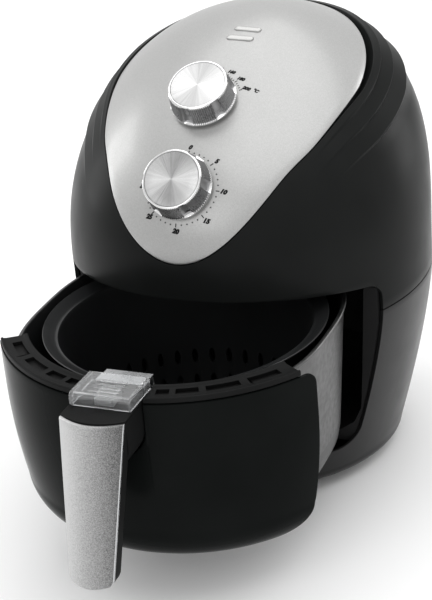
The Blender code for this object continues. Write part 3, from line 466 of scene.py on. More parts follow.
def apply(made):
    """Turns an object's modifiers into its mesh."""
    graph = bpy.context.evaluated_depsgraph_get()
    data = bpy.data.meshes.new_from_object(made.evaluated_get(graph))
    made.modifiers.clear()
    made.data = data
    return made


def combine(target, tools, operation="DIFFERENCE"):
    """Cuts tools out of the target, or joins them to it, and removes them."""
    for tool in tools:
        modifier = target.modifiers.new(tool.name, "BOOLEAN")
        modifier.operation = operation
        modifier.material_mode = "TRANSFER"
        modifier.object = tool
    apply(target)
    for tool in tools:
        bpy.data.objects.remove(tool, do_unlink=True)
    target.data.shade_smooth()
    target.data.set_sharp_from_angle(angle=math.radians(SHARP_ANGLE))
    return target


def soften(made, width, segments=2, angle=32.0):
    """Rounds the sharp edges of a piece."""
    modifier = made.modifiers.new("rounded_edges", "BEVEL")
    modifier.width = width * MM
    modifier.segments = segments
    modifier.limit_method = "ANGLE"
    modifier.angle_limit = math.radians(angle)
    modifier.harden_normals = True
    return apply(made)


def hand_over(made, body, slot, *nodes):
    """The piece rides on a body and stands for CAD nodes, which it hides. The slot's name is not used."""
    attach(made, body)
    if nodes:
        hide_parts(*nodes)
    return made


# ---------------------------------------------------------------- body surfaces

def lower_radius(z):
    return BODY_R - TAPER * max(0.0, 1 - z / SEAM_Z) ** 1.35


def dome_section(z):
    """Radius, backward shift and front bulge of the dome at a height."""
    height = min(max((z - DOME_Z) / DOME_H, 0.0), 1.0)
    return (BODY_R * (1 - height ** 3) ** 0.534, DOME_SHIFT * height ** 2 * (3 - 2 * height),
            NOSE * math.sin(math.pi * height) ** 1.8)


def dome_point(azimuth, z):
    """A point of the dome at an azimuth in degrees, 0 at the front, turning towards +X."""
    radius, shift, bulge = dome_section(z)
    angle = math.radians(azimuth)
    reach = radius + (bulge if math.cos(angle) > 0 else 0.0)
    return Vector((radius * math.sin(angle), shift - reach * math.cos(angle), z))


def dome_normal(azimuth, z):
    z = min(z, DOME_Z + DOME_H - 0.6)
    around = dome_point(azimuth + 0.4, z) - dome_point(azimuth - 0.4, z)
    upward = dome_point(azimuth, z + 0.4) - dome_point(azimuth, z - 0.4)
    return around.cross(upward).normalized()


def outside_dome(point):
    """True where a point lies beyond the dome's surface."""
    if point.z >= DOME_Z + DOME_H:
        return True
    radius, shift, bulge = dome_section(point.z)
    length = radius + (bulge if point.y < shift else 0.0)
    return math.hypot(point.x / radius, (point.y - shift) / length) > 1


def panel_reach(point):
    """Below 1 inside the panel's egg-shaped plan outline and above 1 outside it."""
    across = abs(point.x) / PANEL_HALF_WIDTH
    if point.y < PANEL_Y:
        return across ** 2.5 + ((PANEL_Y - point.y) / PANEL_FRONT) ** 1.47
    return across ** 2 + ((point.y - PANEL_Y) / PANEL_BACK) ** 2


def panel_edge_z(azimuth):
    """Height at which the dome, followed up one azimuth, meets the panel's outline.

    The dome is steep at the panel's round front tip, so the tip's edge is half a wave in height."""
    low, _ = halved(190.0, DOME_Z + DOME_H, 36, lambda z: panel_reach(dome_point(azimuth, z)) > 1)
    away = abs((azimuth + 180) % 360 - 180)
    if away > TIP_END:
        return low
    wave = TIP_Z + TIP_RISE * (1 - math.cos(math.radians(TIP_WAVES * away))) / 2
    return wave + (low - wave) * ease(away, TIP_START, TIP_END)


def ease(value, start, end):
    part = min(max((value - start) / (end - start), 0.0), 1.0)
    return part * part * (3 - 2 * part)


def backness(azimuth):
    """0 at the sides of the panel's front and 1 round the back."""
    return ease(abs((azimuth + 180) % 360 - 180), 40, 94)


def column(azimuth, top_z, low_z, steps=70):
    """The dome's line at one azimuth from a height down to another, with its running length."""
    points = [dome_point(azimuth, top_z + (low_z - top_z) * step / steps) for step in range(steps + 1)]
    lengths = [0.0]
    for first, second in zip(points, points[1:]):
        lengths.append(lengths[-1] + (second - first).length)
    return [point.z for point in points], lengths


def terrace_lift(distance, full):
    """How far the dome is raised at a distance from the rim: each terrace climbs to its edge."""
    start, low = 0.0, RIM_RISE
    for end in TERRACE_ENDS:
        if distance <= end:
            share = max(0.0, distance - start) / (end - start)
            return full * (low + (TERRACE_RISE - low) * share ** 1.3)
        if distance < end + TERRACE_DROP:
            return full * TERRACE_RISE * (1 - ease(distance, end, end + TERRACE_DROP))
        start, low = end, 0.0
    return 0.0


def opening_top(y):
    """Height of the drawer opening's upper edge at a depth, or below everything where there is none."""
    if y >= OPENING_Y:
        return -1.0
    inner = OPENING_Y - OPENING_BEND
    if y > inner + OPENING_TURN:
        return OPENING_TOP + math.sqrt(max(0.0, OPENING_BEND ** 2 - (y - inner) ** 2))
    return OPENING_TOP + OPENING_RISE - (y - inner - OPENING_TURN) * OPENING_FALL / OPENING_RUN


def opening_bottom(y):
    """Height of the drawer opening's lower edge at a depth."""
    inner = OPENING_Y - OPENING_CORNER
    if y < inner:
        return OPENING_FLOOR
    return OPENING_FLOOR + OPENING_CORNER - math.sqrt(max(0.0, OPENING_CORNER ** 2 - (y - inner) ** 2))


def halved(low, high, rounds, stays):
    """Narrows a range by halves to the place, going from low to high, where a test stops being true."""
    for _ in range(rounds):
        centre = (low + high) / 2
        if stays(centre):
            low = centre
        else:
            high = centre
    return low, high


def azimuth_of(y, radius):
    return math.degrees(math.acos(min(1.0, -y / radius)))


def spread(step, extra):
    """Azimuths all round at an even step, with extra ones added on both sides."""
    found = [step * number for number in range(round(360 / step))]
    for azimuth in extra:
        found += [azimuth % 360, -azimuth % 360]
    found.sort()
    kept = [found[0]]
    for azimuth in found[1:]:
        if azimuth - kept[-1] > 0.006:
            kept.append(azimuth)
    return kept


# ---------------------------------------------------------------- upper housing and panel

def upper_border(azimuth):
    """Height of the upper housing's lower edge at an azimuth."""
    low = SEAM_Z + SEAM_GAP
    if opening_top(dome_point(azimuth, low).y) < low:
        return low
    return halved(low, 190.0, 30, lambda z: opening_top(dome_point(azimuth, z).y) > z)[0]


def upper_section(azimuth):
    """The upper housing's wall at one azimuth: outside, rim, gutter, shelf and inside."""
    top_z = panel_edge_z(azimuth)
    border = upper_border(azimuth)
    full = backness(azimuth)
    gutter = GUTTER_FRONT + (GUTTER_BACK - GUTTER_FRONT) * full
    heights, lengths = column(azimuth, top_z, border)
    stops = [0.5, 1.2, 2.5, 4.2]
    start = 0.0
    for end in TERRACE_ENDS:
        stops += [end - 1.2, end - 0.35, end] + [end + TERRACE_DROP * part / 6 for part in range(1, 7)]
        stops += [start + (end - start) * share for share in (0.3, 0.5, 0.7) if end > 10]
        start = end
    stops.sort()
    room = min(1.0, (lengths[-1] - gutter - 4.0) / (TERRACE_ENDS[-1] + TERRACE_DROP))
    stops = [stop * room for stop in stops]
    rest = lengths[-1] - gutter - stops[-1]
    shares = [((step + 1) / 16) ** 0.9 for step in range(15)]
    stops += [stops[-1] + rest * share for share in shares] + [lengths[-1] - gutter - 0.6]
    outside = []
    for stop in stops:
        z = float(np.interp(gutter + stop, lengths, heights))
        lift = terrace_lift(stop / room, full) if room == 1.0 else 0.0
        outside.append(dome_point(azimuth, z) + dome_normal(azimuth, z) * lift)
    rim_z = float(np.interp(gutter, lengths, heights))
    rim = dome_point(azimuth, rim_z)
    normal = dome_normal(azimuth, rim_z)
    drop = PANEL_T + 1.2 + SHELF_DROP * full
    inward = (dome_point(azimuth, top_z + 1.5) - dome_point(azimuth, top_z)).normalized()
    shelf = dome_point(azimuth, top_z) + inward * 7.0 - normal * drop
    rise = normal * RIM_RISE * full
    bank = [rim + rise - normal * 0.45, rim + rise - normal * 1.4, rim - normal * (drop - 0.8),
            rim - normal * drop + inward * 0.5, shelf, shelf - normal * WALL, rim - normal * (drop + WALL)]
    inside = []
    for stop in (12.0, 24.0, 40.0, 60.0, 85.0, 115.0):
        reach = min(gutter + stop * room, lengths[-1] - 1.5)
        z = float(np.interp(reach, lengths, heights))
        inside.append(dome_point(azimuth, z) - dome_normal(azimuth, z) * WALL)
    edge = dome_point(azimuth, border)
    out = dome_normal(azimuth, border)
    up = (dome_point(azimuth, border + 1.0) - edge).normalized()
    lip = [edge - out * WALL + up * 0.5, edge - out * (WALL - 0.4), edge - out * 0.9,
           edge - out * 0.3 + up * 0.1]
    return bank + inside + lip + list(reversed(outside))


def upper_housing():
    bend_centre = (OPENING_Y - OPENING_BEND, OPENING_TOP)
    extra = [azimuth_of(y, BODY_R) for y, _ in arc(bend_centre, OPENING_BEND, 0, 82, 12)]
    side = azimuth_of(OPENING_Y, BODY_R)
    extra += [side - 0.02, side + 0.02]
    azimuths = spread(1.5, extra)
    rows = [upper_section(azimuth) for azimuth in azimuths]
    made = sweep("upper_shell", rows, [SATIN], BODY_Y)
    outline = rounded(-46.0, 46.0, 164.0, 204.0, 1.2)
    window = block("vent_window", outline, 100.0, 160.0, SATIN, "Y", BODY_Y)
    combine(made, [window])
    return hand_over(made, "housing", "black_satin_plastic", "upper_housing")


def panel_ring(azimuths, share, depth, edges):
    loop = []
    top = DOME_Z + DOME_H
    for azimuth, edge in zip(azimuths, edges):
        z = top - (top - edge) * (1 - share) ** 1.6
        loop.append(dome_point(azimuth, z) - dome_normal(azimuth, z) * depth)
    return loop


def top_panel(lenses):
    azimuths = spread(1.5, [])
    edges = [panel_edge_z(azimuth) for azimuth in azimuths]
    shares = [0.93] + [0.9 - 0.035 * step for step in range(25)]
    rings = [panel_ring(azimuths, share, 0.0, edges) for share in shares]
    rings += [panel_ring(azimuths, 0.006, 0.0, edges), panel_ring(azimuths, 0.002, 0.12, edges)]
    rings += [panel_ring(azimuths, 0.0, depth, edges) for depth in (0.5, 1.4, PANEL_T)]
    rings += [panel_ring(azimuths, share, PANEL_T, edges) for share in (0.05, 0.12, 0.3, 0.6, 0.93)]
    made = sweep("silver_panel", rings, [PANEL], BODY_Y, closed=False)
    cutters = []
    for number, frame_of in enumerate(lenses):
        tool = block(f"lens_cut_{number}", capsule(9.8, 2.8), -6.0, 4.0, PANEL)
        tool.matrix_world = frame_of
        cutters.append(tool)
    bpy.context.view_layer.update()
    combine(made, cutters)
    return hand_over(made, "housing", "silver_lacquer", "top_panel")


def surface_frame(origin, normal, y=0.0):
    """Matrix whose Z is the normal and whose X is level."""
    across = Vector((0, 0, 1)).cross(normal).normalized()
    upward = normal.cross(across)
    turn = Matrix((across, upward, normal)).transposed().to_4x4()
    return Matrix.Translation((origin + Vector((0, y, 0))) * MM) @ turn


def dome_above(x, y):
    """Azimuth and height of the dome's point above a plan position."""
    low, high = 200.0, DOME_Z + DOME_H - 0.5
    for _ in range(50):
        z = (low + high) / 2
        if outside_dome(Vector((x, y, z))):
            high = z
        else:
            low = z
    radius, shift, bulge = dome_section(z)
    reach = radius + (bulge if y < shift else 0.0)
    return math.degrees(math.atan2(x / radius, (shift - y) / reach)), z


def lens_frames():
    frames = []
    for x, y in ((9.0, 3.8), (6.9, -6.5)):
        azimuth, z = dome_above(x, y)
        normal = dome_normal(azimuth, z)
        upward = normal.cross(Vector((1, 0, 0))).normalized()
        turn = Matrix((upward.cross(normal), upward, normal)).transposed().to_4x4()
        frames.append(Matrix.Translation((dome_point(azimuth, z) + Vector((0, BODY_Y, 0))) * MM) @ turn)
    return frames


def indicator_lenses(frames):
    """Two raised, softly domed lenses let into the panel."""
    for label, frame_of in zip(("power_lens", "heating_lens"), frames):
        rows = []
        for inset, height in ((0.0, -3.2), (0.0, 0.35), (0.15, 0.62), (0.5, 0.82), (1.1, 0.93), (1.9, 0.97)):
            rows.append([(x, y, height) for x, y in capsule(9.5 - inset, 2.5 - inset)])
        made = sweep(f"{label}_bar", rows, [LENS], closed=False)
        made.data.transform(frame_of)
        hand_over(made, "housing", "clear_plastic", label)


# ---------------------------------------------------------------- knobs and scales

def knob_place(z):
    """A knob's own frame on the panel."""
    return surface_frame(dome_point(0, z), dome_normal(0, z), BODY_Y)


def knob_section():
    """(radius, height, tooth depth share, flute depth share) from a knob's skirt over its rim to its bore."""
    shares = (0, 0.25, 0.5, 0.75, 1)
    side = [(KNOB_R + 1.7 - 1.5 * share, 4.4 + (KNOB_H - 7.4) * share, 1, 1) for share in shares]
    return ([(KNOB_R + 1.9, 1.6, 0.5, 0), (KNOB_R + 2.4, 2.0, 1, 0), (KNOB_R + 2.4, 3.0, 1, 0.1),
             (KNOB_R + 1.9, 3.6, 1, 0.6)] + side +
            [(KNOB_R + 0.15, KNOB_H - 2.4, 1, 1), (KNOB_R + 0.1, KNOB_H - 1.8, 1, 0.9),
             (KNOB_R, KNOB_H - 1.2, 0.5, 0.6), (KNOB_R - 0.2, KNOB_H - 0.6, 0, 0.1),
             (KNOB_R - 0.7, KNOB_H - 0.15, 0, 0), (KNOB_R - 1.2, KNOB_H, 0, 0),
             (18.9, KNOB_H - 0.05, 0, 0), (18.75, KNOB_H - 0.4, 0, 0), (18.75, KNOB_H - 1.4, 0, 0),
             (6.0, KNOB_H - 1.4, 0, 0), (1e-4, KNOB_H - 1.4, 0, 0), (1e-4, 10.4, 0, 0), (3.4, 10.4, 0, 0),
             (3.4, 1.6, 0, 0)])


def knob(label, z, turn_by):
    """A knob with toothed, fluted sides and a separate spun face, about its own axis."""
    count = KNOB_TEETH * 6
    rows = []
    for radius, height, teeth, flute in knob_section():
        row = []
        for step in range(count):
            angle = 2 * math.pi * step / count
            tooth = TOOTH_DEPTH * teeth * (0.5 + 0.5 * math.cos(KNOB_TEETH * angle))
            across = (angle * KNOB_FLUTES / (2 * math.pi) + 0.5) % 1 - 0.5
            groove = FLUTE_DEPTH * flute * math.sqrt(max(0.0, 1 - (across / FLUTE_SHARE) ** 2))
            cut = max(tooth if groove == 0 else 0.0, groove) if radius > KNOB_R - 1 else 0.0
            reach = radius - cut
            row.append((reach * math.cos(angle + turn_by), reach * math.sin(angle + turn_by), height))
        rows.append(row)
    place = knob_place(z)
    body = f"{label}_dial"

    def finish_of(number, _):
        return 0 if 3 <= number <= 9 else 1

    made = sweep(f"{label}_knob_body", rows, [KNURL, POLISHED], paint_rows=finish_of)
    made.matrix_world = place
    bpy.context.view_layer.update()
    hand_over(made, body, "spun_aluminium", f"{label}_knob")
    profile = [(1e-4, KNOB_H - 1.1), (18.6, KNOB_H - 1.1), (18.6, KNOB_H - 0.45), (18.45, KNOB_H - 0.25),
               (18.1, KNOB_H - 0.2), (12.0, KNOB_H - 0.24), (6.0, KNOB_H - 0.28), (1e-4, KNOB_H - 0.3)]
    face = turned(f"{label}_knob_face", profile, [SPUN], count=160)
    face.matrix_world = place
    bpy.context.view_layer.update()
    hand_over(face, body, "spun_aluminium", f"{label}_knob_cap")


def on_panel(x, y, place, lift):
    """The panel's point under a spot of a knob's own plane, raised a little."""

    def under(height):
        point = place @ Vector((x * MM, y * MM, height * MM))
        return not outside_dome(point / MM - Vector((0, BODY_Y, 0)))

    low, _ = halved(-25.0, 8.0, 24, under)
    return place @ Vector((x * MM, y * MM, (low + lift) * MM))


def printed(name, outlines, place):
    """Flat shapes of a scale, laid on the panel with a thickness of ink."""
    mesh = bmesh.new()
    for outline in outlines:
        layers = []
        for lift in (INK_DEPTH, INK_LIFT):
            layers.append([mesh.verts.new(on_panel(x, y, place, lift)) for x, y in outline])
        under, top = layers
        mesh.faces.new(top)
        mesh.faces.new(list(reversed(under)))
        for index in range(len(outline)):
            nearby = (index + 1) % len(outline)
            mesh.faces.new((under[index], under[nearby], top[nearby], top[index]))
    bmesh.ops.recalc_face_normals(mesh, faces=mesh.faces)
    return link(name, mesh, [INK])


def dial_text(name, words, size, angle, distance, place, tilt):
    """Raised figures of a scale, laid on the panel at an angle clockwise from the top."""
    curve = bpy.data.curves.new(name, "FONT")
    curve.body = words
    curve.size = size
    curve.align_x = "CENTER"
    curve.align_y = "CENTER"
    curve.extrude = 0.1
    curve.offset = 0.075 * size
    curve.shear = 0.25
    curve.resolution_u = 3
    writer = show(name, curve)
    graph = bpy.context.evaluated_depsgraph_get()
    data = bpy.data.meshes.new_from_object(writer.evaluated_get(graph))
    bpy.data.objects.remove(writer, do_unlink=True)
    mesh = bmesh.new()
    mesh.from_mesh(data)
    bmesh.ops.remove_doubles(mesh, verts=mesh.verts, dist=1e-4)
    centre = Vector((distance * math.sin(math.radians(angle)), distance * math.cos(math.radians(angle))))
    turn = Matrix.Rotation(-math.radians(tilt), 2)
    for vertex in mesh.verts:
        flat = turn @ Vector((vertex.co.x, vertex.co.y)) + centre
        vertex.co = on_panel(flat.x, flat.y, place, INK_LIFT if vertex.co.z > 0 else INK_DEPTH)
    bmesh.ops.recalc_face_normals(mesh, faces=mesh.faces)
    return link(name, mesh, [INK])


def bar(angle, near, far, half_width):
    """A short tick along a radius, clockwise from the top."""
    a = math.radians(angle)
    out, side = Vector((math.sin(a), math.cos(a))), Vector((math.cos(a), -math.sin(a)))
    return [tuple(out * r + side * w) for r, w in
            ((near, -half_width), (near, half_width), (far, half_width), (far, -half_width))]


def dot(angle, distance, radius):
    a = math.radians(angle)
    return arc((distance * math.sin(a), distance * math.cos(a)), radius, 0, 360, 10)[:-1]


def timer_scale():
    """Figures every 5 minutes from 0 to 30, a tick at each and a dot at each minute between."""
    place = knob_place(TIMER_Z)
    shapes = []
    for minute in range(31):
        angle = minute * MINUTE_ANGLE
        if minute % 5 == 0:
            shapes.append(bar(angle, 23.8, 26.2, 0.32))
            figure = dial_text(f"timer_figure_{minute}", str(minute), 4.2, angle, 28.7, place, 10.0)
            hand_over(figure, "housing", "silver_lacquer")
        else:
            shapes.append(dot(angle, 24.9, 0.5))
    hand_over(printed("timer_ticks", shapes, place), "housing", "silver_lacquer")


def thermostat_scale():
    """Figures every 20 degrees from 80 to 200, with ticks between."""
    place = knob_place(THERMOSTAT_Z)
    shapes = []
    for number in range(THERMOSTAT_TICKS + 1):
        angle = COLDEST_ANGLE + THERMOSTAT_SPAN * number / THERMOSTAT_TICKS
        long = number % 4 == 0
        shapes.append(bar(angle, 24.0, 26.2 if long else 25.2, 0.28))
        if long:
            degrees = 80 + number // 4 * 20
            figure = dial_text(f"thermostat_figure_{degrees}", str(degrees), 3.5, angle, 28.9, place, 12.0)
            hand_over(figure, "housing", "silver_lacquer")
    unit = dial_text("thermostat_unit", "°C", 3.4, 67.0, 34.4, place, 20.0)
    hand_over(unit, "housing", "silver_lacquer")
    hand_over(printed("thermostat_ticks", shapes, place), "housing", "silver_lacquer")


# ---------------------------------------------------------------- lower housing

def revolved(azimuth, radius, z):
    angle = math.radians(azimuth)
    return Vector((radius * math.sin(angle), -radius * math.cos(angle), z))


def lower_border(azimuth):
    """Height of the lower housing's upper edge at an azimuth: the seam, or the opening's edge."""
    cosine = math.cos(math.radians(azimuth))

    def wall_at(z):
        y = -lower_radius(z) * cosine
        return y >= OPENING_Y or z <= opening_bottom(y)

    high = SEAM_Z - SEAM_GAP
    if wall_at(high):
        return high
    return halved(20.0, high, 30, wall_at)[1]


def lower_section(azimuth):
    """The lower housing's wall at one azimuth."""
    bend = 8.0
    border = lower_border(azimuth)
    foot = (lower_radius(BASE_Z + bend) - bend, BASE_Z + bend)
    outside = [(88.0, BASE_Z), (foot[0] - 3.0, BASE_Z)] + arc(foot, bend, -84, 0, 9)
    steps = 34
    heights = [BASE_Z + bend + (border - 0.6 - BASE_Z - bend) * (step + 1) / steps for step in range(steps)]
    outside += [(lower_radius(z), z) for z in heights]
    edge = lower_radius(border)
    lip = [(edge - 0.25, border - 0.12), (edge - 0.8, border), (edge - WALL + 0.5, border),
           (edge - WALL, border - 0.5)]
    inside = [(lower_radius(z) - WALL, z) for z in reversed(heights[5:-1:4])]
    inside += [(foot[0] + 3.6, 17.0), (foot[0] - 0.6, BASE_Z + WALL), (88.0, BASE_Z + WALL)]
    return [revolved(azimuth, radius, z) for radius, z in outside + lip + inside]


def lower_housing():
    extra = []
    for step in range(26):
        z = OPENING_FLOOR + OPENING_CORNER + (SEAM_Z - OPENING_FLOOR - OPENING_CORNER) * step / 25
        extra.append(azimuth_of(OPENING_Y, lower_radius(z)))
    for y, z in arc((OPENING_Y - OPENING_CORNER, OPENING_FLOOR + OPENING_CORNER), OPENING_CORNER, -90, 0, 12):
        extra.append(azimuth_of(y, lower_radius(z)))
    side = azimuth_of(OPENING_Y, lower_radius(SEAM_Z))
    extra += [side - 0.02, side + 0.02]
    rows = [lower_section(azimuth) for azimuth in spread(1.5, extra)]
    made = sweep("lower_shell", rows, [CHARCOAL], BODY_Y)
    hole = block("gland_hole", arc((0, 45.0), 7.6, 0, 360, 48)[:-1], 95.0, 125.0, CHARCOAL, "Y", BODY_Y)
    combine(made, [hole])
    return hand_over(made, "housing", "black_satin_plastic", "lower_housing")


def vent_grille():
    """Curved rear grille with long slots."""
    half_angle = 20.2
    rows = []
    heights = [164.7 + 38.6 * part / 20 for part in range(21)]
    for step in range(61):
        azimuth = 180 - half_angle + 2 * half_angle * step / 60
        outer = [dome_point(azimuth, z) for z in heights]
        inner = [dome_point(azimuth, z) - dome_normal(azimuth, z) * WALL for z in reversed(heights)]
        rows.append(outer + inner)
    made = sweep("rear_grille", rows, [MATT], BODY_Y, closed=False)
    slots = []
    for index in range(5):
        for column_x in (-27.0, 0.0, 27.0):
            low, high = 169.0 + 6.8 * index, 172.2 + 6.8 * index
            outline = rounded(column_x - 12.0, column_x + 12.0, low, high, 1.55)
            slot_name = f"grille_slot_{index}_{column_x:.0f}"
            slots.append(block(slot_name, outline, 110.0, 150.0, MATT, "Y", BODY_Y))
    combine(made, slots)
    hand_over(made, "housing", "dark_moulded_plastic", "rear_vent_grille")


def cord_gland():
    """Rubber bush where the cord would enter, with rings round its nose."""
    profile = [(3.6, 99.0), (8.8, 99.0), (9.2, 99.4), (9.2, 105.0), (8.8, 105.4), (7.2, 105.4), (7.2, 114.4),
               (9.2, 114.4), (9.6, 114.9), (9.5, 116.4), (8.6, 117.0), (8.5, 118.2), (9.1, 118.8),
               (9.0, 120.0), (8.2, 120.6), (8.1, 121.6), (8.6, 122.2), (8.4, 123.4), (7.8, 124.0),
               (4.4, 124.0), (3.6, 123.2)]
    rows = [[(x, y, z) for x, z in arc((0, 45.0), radius, 0, 360, 48)[:-1]] for radius, y in profile]
    hand_over(sweep("cord_bush", rows, [RUBBER], BODY_Y), "housing", "grey_rubber", "cord_gland")


def feet():
    for x_side, x_word in ((-1, "left"), (1, "right")):
        for y_side, y_word in ((-1, "front"), (1, "rear")):
            profile = [(1e-4, 0.9), (5.2, 0.9), (5.6, 0.5), (6.2, 0.0), (8.6, 0.0), (9.4, 0.3), (9.9, 1.2),
                       (9.6, 4.0), (8.7, 10.2), (8.4, 10.5), (1e-4, 10.5)]
            centre = (52.0 * x_side, 52.0 * y_side)
            foot = turned(f"{y_word}_{x_word}_foot_pad", profile, [RUBBER], BODY_Y, 48, centre)
            hand_over(foot, "housing", "grey_rubber", f"foot_{y_word}_{x_word}")


# ---------------------------------------------------------------- drawer

def front_radius(z):
    """The drawer front's outside radius at a height, drawn in below."""
    return FRONT_R - 11.0 * max(0.0, (130 - z) / 95) ** 2


def front_profile(place):
    """(radius, z, outward normal) of the drawer front's section; below 1 is the bend, above it the wall."""
    foot = (front_radius(FRONT_FLOOR + FRONT_BEND) - FRONT_BEND, FRONT_FLOOR + FRONT_BEND)
    if place < 1:
        angle = math.radians(-88 + 88 * place)
        direction = (math.cos(angle), math.sin(angle))
        return foot[0] + FRONT_BEND * direction[0], foot[1] + FRONT_BEND * direction[1], direction
    z = foot[1] + (FRONT_TOP - foot[1]) * (place - 1)
    slope = (front_radius(z + 0.5) - front_radius(z - 0.5))
    return front_radius(z), z, (1 / math.hypot(1, slope), -slope / math.hypot(1, slope))


def front_side(z):
    """Rearmost y of the drawer front at a height, from its side view."""
    back = FRONT_BACK
    if z < FRONT_FLOOR + FRONT_CORNER:
        rise = FRONT_FLOOR + FRONT_CORNER - z
        return back - FRONT_CORNER + math.sqrt(max(0.0, FRONT_CORNER ** 2 - rise ** 2))
    if z > FRONT_TOP - FRONT_TOP_CORNER:
        rise = z - FRONT_TOP + FRONT_TOP_CORNER
        return back - FRONT_TOP_CORNER + math.sqrt(max(0.0, FRONT_TOP_CORNER ** 2 - rise ** 2))
    return back


def in_front(azimuth, place):
    """True where the drawer front has material: inside its side view and clear of the notch."""
    radius, z, _ = front_profile(place)
    point = revolved(azimuth, radius, z)
    if point.y > front_side(z):
        return False
    across = abs(point.x)
    if across < NOTCH_HALF_WIDTH:
        return z < NOTCH_Z - math.sqrt(NOTCH_HALF_WIDTH ** 2 - across ** 2)
    return True


def front_span(azimuth):
    """Lowest and highest place of the section that has material at an azimuth."""
    places = [2 * step / 240 for step in range(241)]
    inside = [place for place in places if in_front(azimuth, place)]
    if not inside:
        return None
    span = []
    for end, step in ((inside[0], -2 / 240), (inside[-1], 2 / 240)):
        good, bad = end, end + step
        if 0 <= bad <= 2:
            good, _ = halved(good, bad, 20, lambda place: in_front(azimuth, place))
        span.append(good)
    return span


def front_section(azimuth, span):
    """The drawer front's wall at one azimuth, kept in front of the plane of its back edge."""
    low, high = span
    steps = 60
    edge = min(0.012, (high - low) * 0.1)
    places = [low + edge + (high - low - 2 * edge) * step / steps for step in range(steps + 1)]

    def at(place, depth):
        radius, z, normal = front_profile(place)
        x, y, z = revolved(azimuth, radius - normal[0] * depth, z - normal[1] * depth)
        return x, min(y, FRONT_BACK), z

    outside = [at(place, 0.0) for place in places]
    top = [at(high - edge * 0.2, 0.18), at(high, 0.75), at(high, WALL - 0.6), at(high - edge, WALL)]
    inside = [at(place, WALL) for place in reversed(places[6:-6:6])]
    bottom = [at(low + edge, WALL), at(low, WALL - 0.6), at(low, 0.75), at(low + edge * 0.2, 0.18)]
    return outside + top + inside + bottom


def drawer_front():
    """The polished cover, built in columns that end exactly on its outline."""
    extra = []
    back = FRONT_BACK
    for y, z in arc((back - FRONT_CORNER, FRONT_FLOOR + FRONT_CORNER), FRONT_CORNER, -80, 0, 24):
        extra.append(azimuth_of(y, front_radius(z)))
    for step in range(16):
        z = FRONT_FLOOR + FRONT_CORNER + (130.0 - FRONT_FLOOR - FRONT_CORNER) * step / 15
        extra.append(azimuth_of(back, front_radius(z)))
    top_centre = (back - FRONT_TOP_CORNER, FRONT_TOP - FRONT_TOP_CORNER)
    for y, _ in arc(top_centre, FRONT_TOP_CORNER, 0, 90, 8):
        extra.append(azimuth_of(y, FRONT_R))
    for x, _ in arc((0, 0), NOTCH_HALF_WIDTH, 0, 90, 14):
        extra.append(math.degrees(math.asin(x / FRONT_R)))
    notch_side = math.degrees(math.asin(NOTCH_HALF_WIDTH / FRONT_R))
    extra += [notch_side - 0.02, notch_side + 0.02]
    azimuths = sorted((azimuth + 180) % 360 - 180 for azimuth in spread(1.2, extra))
    sections = [(azimuth, front_span(azimuth)) for azimuth in azimuths if abs(azimuth) < FRONT_HALF_ANGLE]
    rows = [front_section(azimuth, span) for azimuth, span in sections if span and span[1] - span[0] > 0.02]
    made = sweep("glossy_front", rows, [GLOSS], DRAWER_Y, closed=False)
    return hand_over(made, "drawer", "black_gloss_plastic", "drawer_front")

# height on the pan's outside below which the black coating stands in for shade

def sector(name, section, start, end, steps, finish):
    """A (radius, z) section carried round the axis between two azimuths."""
    rows = []
    for step in range(steps + 1):
        azimuth = start + (end - start) * step / steps
        rows.append([revolved(azimuth, radius, z) for radius, z in section])
    return sweep(name, rows, [finish], DRAWER_Y, closed=False)


def notch_outline(half_width, top):
    """U shape (x, z) of the handle's notch in the drawer front."""
    return arc((0, NOTCH_Z), half_width, 180, 360, 28) + [(half_width, top), (-half_width, top)]


def drawer_ledge():
    """Matt top edge of the drawer with raised borders and vent slots, and its apron. The slots are shallow
    pockets whose black ink floors and walls are painted shade for depth.
    """
    section = [(106.5, 159.0), (119.6, 159.0), (119.6, 98.0), (121.1, 98.0), (122.2, 118.0),
               (122.2, 159.0), (124.4, 159.0), (124.9, 159.6), (124.9, 162.2), (124.5, 162.7),
               (123.6, 162.8), (122.9, 162.2), (121.4, 161.9), (110.4, 161.9), (109.6, 162.3),
               (108.9, 162.8), (107.2, 162.8), (106.6, 162.3)]
    made = sector("slotted_ledge", section, -LEDGE_HALF_ANGLE, LEDGE_HALF_ANGLE, 152, MATT)
    notch = notch_outline(NOTCH_HALF_WIDTH, 175.0)
    cutters = [block("ledge_notch", notch, -150.0, -95.0, MATT, "Y", DRAWER_Y)]
    for side in (-1, 1):
        for number, (start, end) in enumerate(((13.2, 17.4), (19.3, 26.4), (28.6, 39.3), (42.0, 52.6))):
            low, high = sorted((start * side, end * side))
            outline = [(111.9, 159.4), (118.3, 159.4), (118.3, 170.0), (111.9, 170.0)]
            # painted shade: each pocket's new floor and walls take the black ink finish from its cutter,
            # standing in for a deep dark hole
            cutters.append(sector(f"ledge_cut_{side}_{number}", outline, low, high, 14, INK))
    combine(made, cutters)
    soften(made, 0.35, 2, 40.0)
    return hand_over(made, "drawer", "dark_moulded_plastic", "drawer_ledge")


def pan_loop(scale, z, extra=0.0, count=180):
    """The pan's rounded plan outline at a scale, pushed out by an extra width."""
    loop = []
    for x, y in arc((0, 0), 1, -90, 270, count)[:-1]:
        power = 3.0 if y < 0 else 2.6
        reach = (abs(x) ** power + abs(y) ** power) ** (-1 / power)
        loop.append((x * reach * (PAN_HALF_WIDTH * scale + extra),
                     PAN_Y + y * reach * (PAN_HALF_LENGTH * scale + extra), z))
    return loop


def pan_scale(z):
    """How far the pan has narrowed at a height."""
    return 1 - 0.055 * (PAN_RIM - z) / 73.7 - 0.2 * max(0.0, (66 - z) / 26) ** 2.4


